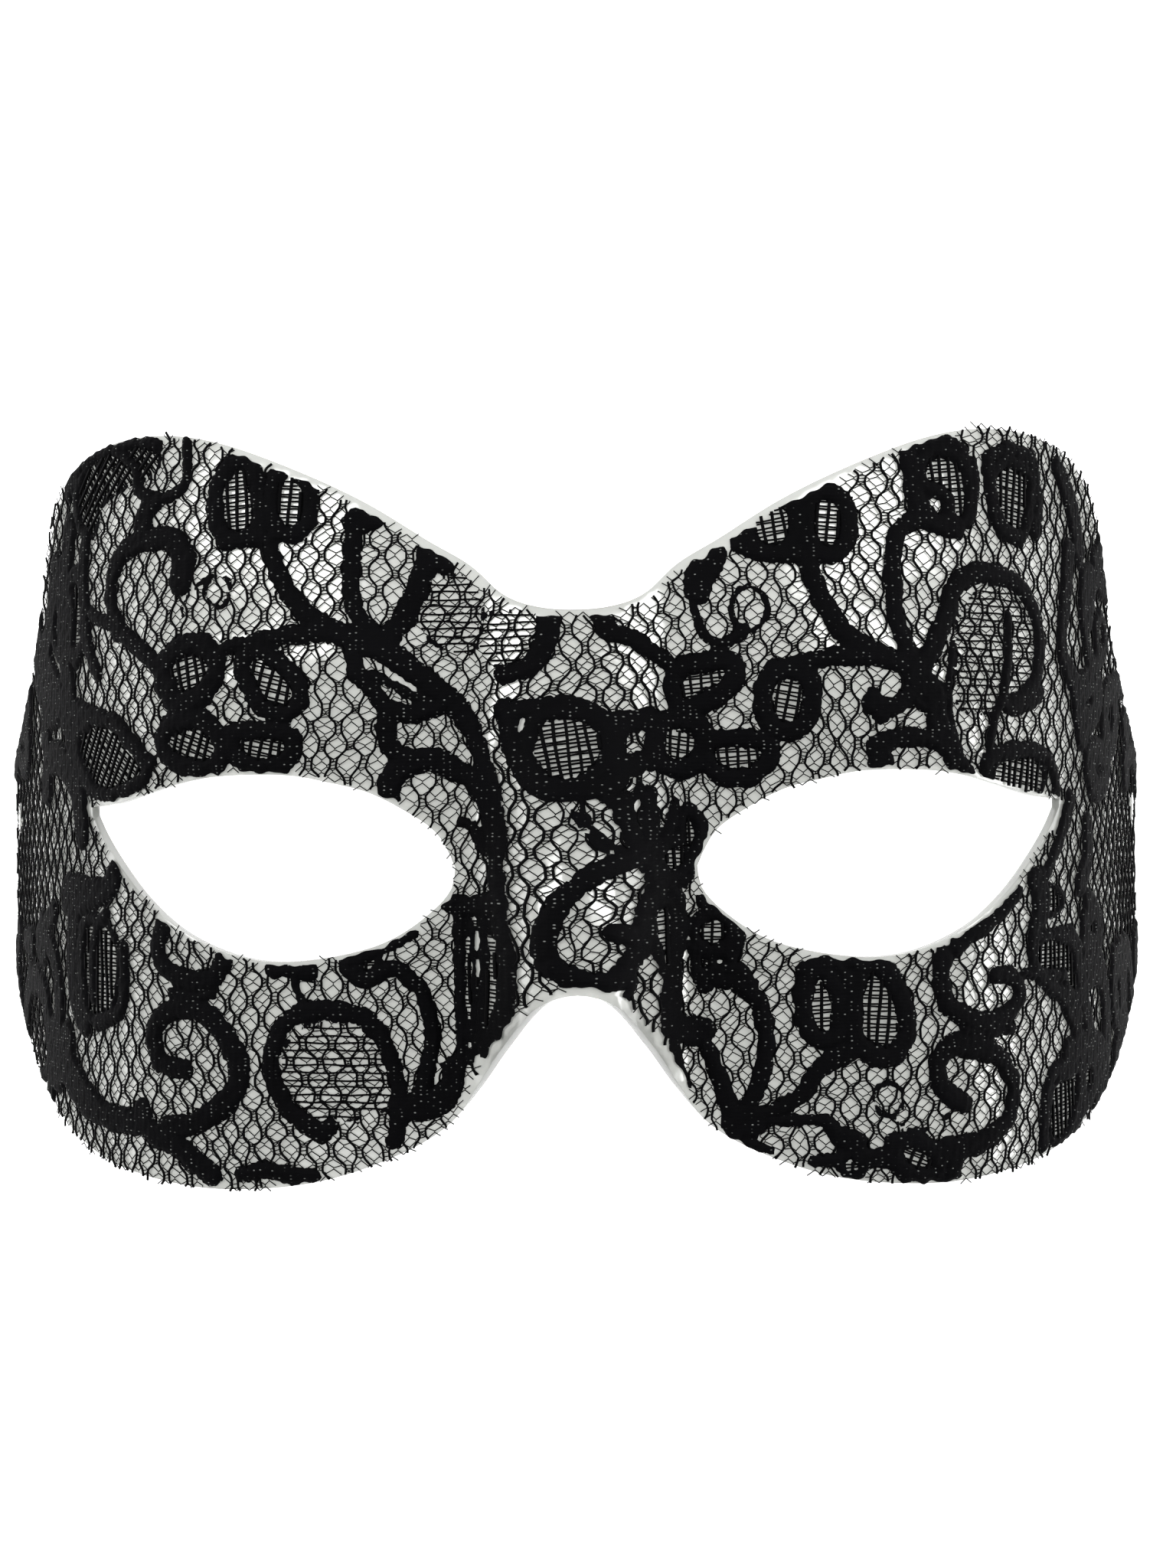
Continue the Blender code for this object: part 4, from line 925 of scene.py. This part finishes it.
def fineNetPaths():
    # Zigzag threads that twist together where they meet, so the holes between them are six-sided
    paths = []
    count = int(field["halfLength"] / fineNet["pitch"])
    halves = int(2 * field["halfHeight"] / fineNet["wave"])
    turns = np.arange(-halves, halves)
    for index in range(-count, count + 1):
        corners = np.stack((turns - fineNet["twist"], turns + fineNet["twist"]), axis=1).ravel()
        swing = 0.5 * fineNet["pitch"] * np.where((np.repeat(turns, 2) + index) % 2 == 0, 1.0, -1.0)
        x = index * fineNet["pitch"] + swing
        paths.append(warped(np.stack((x, 0.5 * fineNet["wave"] * corners), axis=1)))
    return paths


ladder = {
    "uprightPitch": 1.18 * mm,
    "rungPitch": 0.50 * mm,
    "uprightRadius": 0.26 * mm,
    "rungRadius": 0.145 * mm,
    "gridRungPitch": 0.90 * mm,
}


def ladderPaths(leaves):
    uprights = []
    rungs = []
    for rim, width, lean in leaves:
        angle = math.radians(lean)
        middle = rim.mean(axis=0)
        along = np.array((-math.sin(angle), math.cos(angle)))
        across = np.array((math.cos(angle), math.sin(angle)))
        reach = np.abs(rim - middle).max() * 1.5
        isGrid = width < gridRim
        rungPitch = ladder["gridRungPitch"] if isGrid else ladder["rungPitch"]
        count = int(reach / ladder["uprightPitch"])
        length = np.arange(-reach, reach, 0.35 * mm)
        for index in () if isGrid else range(-count, count + 1):
            wobble = 0.12 * mm * np.sin(length / (1.9 * mm) + index * 1.7)
            path = middle + along * length[:, None] + across * (
                index * ladder["uprightPitch"] + wobble)[:, None]
            inside = insideLoop(path, rim)
            uprights.extend(path[a:b] for a, b in stretches(inside))
        count = int(reach / rungPitch)
        for index in range(-count, count + 1):
            slip = 0.06 * mm * math.sin(index * 2.3)
            wobble = 0.07 * mm * np.sin(length / (1.1 * mm) + index * 2.9)
            path = middle + across * length[:, None] + along * (
                index * rungPitch + slip + wobble)[:, None]
            inside = insideLoop(path, rim)
            rungs.extend(path[a:b] for a, b in stretches(inside))
    return uprights, rungs


def stretches(flags):
    ends = np.flatnonzero(np.diff(np.concatenate(([0], flags.astype(int), [0]))))
    return [(a, b) for a, b in zip(ends[::2], ends[1::2]) if b - a > 1]


print("tracing the lace")
bands, leaves = tracedShapes()
bands, leaves = repeatedOnSides(bands, leaves)
outlineLoop = wholeOutline()
outlineField = loopField(outlineLoop, 12 * mm)
outlineField = np.where(outlineField > 8.9 * mm, 9.0 * mm, outlineField)
gridX, gridY = np.meshgrid(fieldX, fieldY)
gridPlaces = np.stack((gridX.ravel(), gridY.ravel()), axis=1)
deepInside = insideLoop(gridPlaces, outlineLoop)
outlineField = np.where(deepInside.reshape(outlineField.shape) & (outlineField > 0), -9.0 * mm, outlineField)
eyeFields = [loopField(eyeOutline(side), 12 * mm) for side in (-1.0, 1.0)]
tieX = rearArc - tieHole["fromRearEdge"]
tieField = np.hypot(np.abs(gridX) - tieX, gridY - tieHole["y"]) - tieHole["radius"]
motifField = bandField(bands)
motifField -= swell["side"] * smoothStep((np.abs(gridX) - swell["sideFrom"]) / swell["sideOver"])
filled = [rim for rim, width, _ in leaves if width > gridRim]
leafField = np.minimum.reduce([loopField(rim, 3 * mm) for rim in filled])

laceTrim = {
    "edge": 0.15 * mm,
    "dip": 0.95 * mm,                   # trimmed further in at the top dip and the nose arch
    "dipReach": (46 * mm, 15 * mm),     # how far out from the centre line, above and below
    "eye": 0.35 * mm,
    "tie": 0.7 * mm,
    "rearHeight": 1.6 * mm,
}
rearLimit = float(arcOf(form["halfWidth"] * (
    (form["wrapDepth"] - laceTrim["rearHeight"]) / form["wrapDepth"]) ** (1.0 / form["wrapPower"])))
ragged = rippleAt(gridPlaces, 2.2 * mm, 31).reshape(gridX.shape) * 0.22 * mm
dipReach = np.where(gridY > 0, *laceTrim["dipReach"])
dipTrim = (laceTrim["dip"] - laceTrim["edge"]) * (1 - smoothStep((np.abs(gridX) / dipReach - 0.8) / 0.3))
laceField = np.maximum.reduce([
    outlineField + laceTrim["edge"] + dipTrim + ragged,
    np.abs(gridX) - rearLimit + 0.3 * mm + np.abs(ragged),
    laceTrim["tie"] - tieField,
] + [laceTrim["eye"] - f + ragged for f in eyeFields])
fuzz = rippleAt(gridPlaces, 1.1 * mm, 32) * 0.19 * mm + rippleAt(gridPlaces, 3.6 * mm, 33) * 0.16 * mm
fuzz = fuzz.reshape(gridX.shape)
clothField = np.maximum(motifField + fuzz, laceField)

print("materials")
clearPlasticMaterial = makeClearPlastic()
blackThreadMaterial = makeBlackThread()
stitchClothMaterial = makeStitchCloth()

print("clear shell")
shellPiece = buildShell(outlineField, eyeFields, tieField, clearPlasticMaterial)

print("stitched motifs")
third = rearArc / 3.0
clothCuts = [
    buildStitchCloth("stitchClothLeft", clothField, (-rearArc, -third), stitchClothMaterial),
    buildStitchCloth("stitchClothMiddle", clothField, (-third, third), stitchClothMaterial),
    buildStitchCloth("stitchClothRight", clothField, (third, rearArc), stitchClothMaterial),
]
clothPieces = [piece for piece, _ in clothCuts]

print("net ground")
openGround = np.maximum(laceField, -motifField - 0.05 * mm)
netBlocked = -np.maximum(openGround, -leafField)
chains, ties = coarseNetPaths()
coarse = [part for path in chains for part in cutPath(path, netBlocked)]
tied = [path for path in ties if sampled(netBlocked, path).min() > 0.0]
fine = [part for path in fineNetPaths() for part in cutPath(path, netBlocked)]
netLift = stitch["base"]
fineLift = netLift - 0.02 * mm
uprightLift = netLift + 0.05 * mm
thread = blackThreadMaterial
netPieces = [
    threadsMesh("coarseNet", coarse, coarseNet["radius"], coarseNet["sides"], netLift, thread),
    threadsMesh("netTies", tied, coarseNet["tieRadius"], 3, netLift, thread),
    threadsMesh("fineNet", fine, fineNet["radius"], fineNet["sides"], fineLift, thread),
]

print("ladder stitch")
ladderBlocked = -openGround
uprights, rungs = ladderPaths(leaves)
uprights = [part for path in uprights for part in cutPath(path, ladderBlocked)]
rungs = [part for path in rungs for part in cutPath(path, ladderBlocked)]
netPieces.append(threadsMesh("ladderUprights", uprights, ladder["uprightRadius"], 4, uprightLift, thread))
netPieces.append(threadsMesh("ladderRungs", rungs, ladder["rungRadius"], 3, netLift, thread))

print("riding on the frame")
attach(shellPiece, "root")
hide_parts("mask_shell")
for piece in clothPieces + netPieces:
    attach(piece, "root")
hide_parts("lace_cover")

print("floor, lights and camera")
studio = {
    "floorSize": 3.0,
    "floorGlow": 0.65,
    "world": 0.30,
}
bm = bmesh.new()
bmesh.ops.create_grid(bm, x_segments=2, y_segments=2, size=studio["floorSize"])
paper, _, _, paperShader = newMaterial("whitePaper")
paperShader.inputs["Base Color"].default_value = (0.92, 0.92, 0.92, 1.0)
paperShader.inputs["Roughness"].default_value = 0.9
paperShader.inputs["Specular IOR Level"].default_value = 0.0
paperShader.inputs["Emission Color"].default_value = (1.0, 1.0, 1.0, 1.0)
paperShader.inputs["Emission Strength"].default_value = studio["floorGlow"]
floor = addPiece("floor", bm, paper, smooth=False)

world = bpy.data.worlds.new("studioLight")
bpy.context.scene.world = world
world.use_nodes = True
world.node_tree.nodes["Background"].inputs["Color"].default_value = (1.0, 1.0, 1.0, 1.0)
world.node_tree.nodes["Background"].inputs["Strength"].default_value = studio["world"]


def softbox(name, place, target, size, power):
    lamp = bpy.data.lights.new(name, "AREA")
    lamp.shape = "RECTANGLE"
    lamp.size = size[0]
    lamp.size_y = size[1]
    lamp.energy = power
    light = bpy.data.objects.new(name, lamp)
    bpy.context.scene.collection.objects.link(light)
    light.location = place
    back = (Vector(place) - Vector(target)).normalized()
    side = (Vector((1.0, 0.0, 0.0)) - back * back.x).normalized()
    light.rotation_euler = Matrix((side, back.cross(side), back)).transposed().to_euler()


softbox("keyLightLeft", (-0.60, 0.33, 0.60), (0.0, 0.0, 0.05), (0.90, 0.24), 5.6)
softbox("keyLightRight", (0.60, 0.33, 0.60), (0.0, 0.0, 0.05), (0.90, 0.24), 5.6)
softbox("lowLight", (0.82, -0.16, 0.14), (0.0, 0.0, 0.04), (0.25, 0.25), 1.2)
softbox("fillLight", (-0.2, -0.7, 0.9), (0.0, 0.0, 0.03), (0.9, 0.6), 2.4)

cameraData = bpy.data.cameras.new("camera")
cameraData.sensor_width = 36.0
focalPixels = photo["pixelsPerMetre"] * photo["eyeAboveFace"]
cameraData.lens = focalPixels / photo["imageHeight"] * cameraData.sensor_width
cameraData.shift_x = (photo["imageMiddle"][0] - photo["maskMiddle"][0]) / photo["imageHeight"]
cameraData.shift_y = (photo["maskMiddle"][1] - photo["imageMiddle"][1]) / photo["imageHeight"]
cameraData.clip_start = 0.01
camera = bpy.data.objects.new("camera", cameraData)
bpy.context.scene.collection.objects.link(camera)
camera.location = (0.0, 0.0, form["wrapDepth"] + photo["eyeAboveFace"])
camera.rotation_euler = (0.0, 0.0, -photo["roll"])
bpy.context.scene.camera = camera
bpy.context.scene.view_settings.view_transform = "Standard"

print("finished")
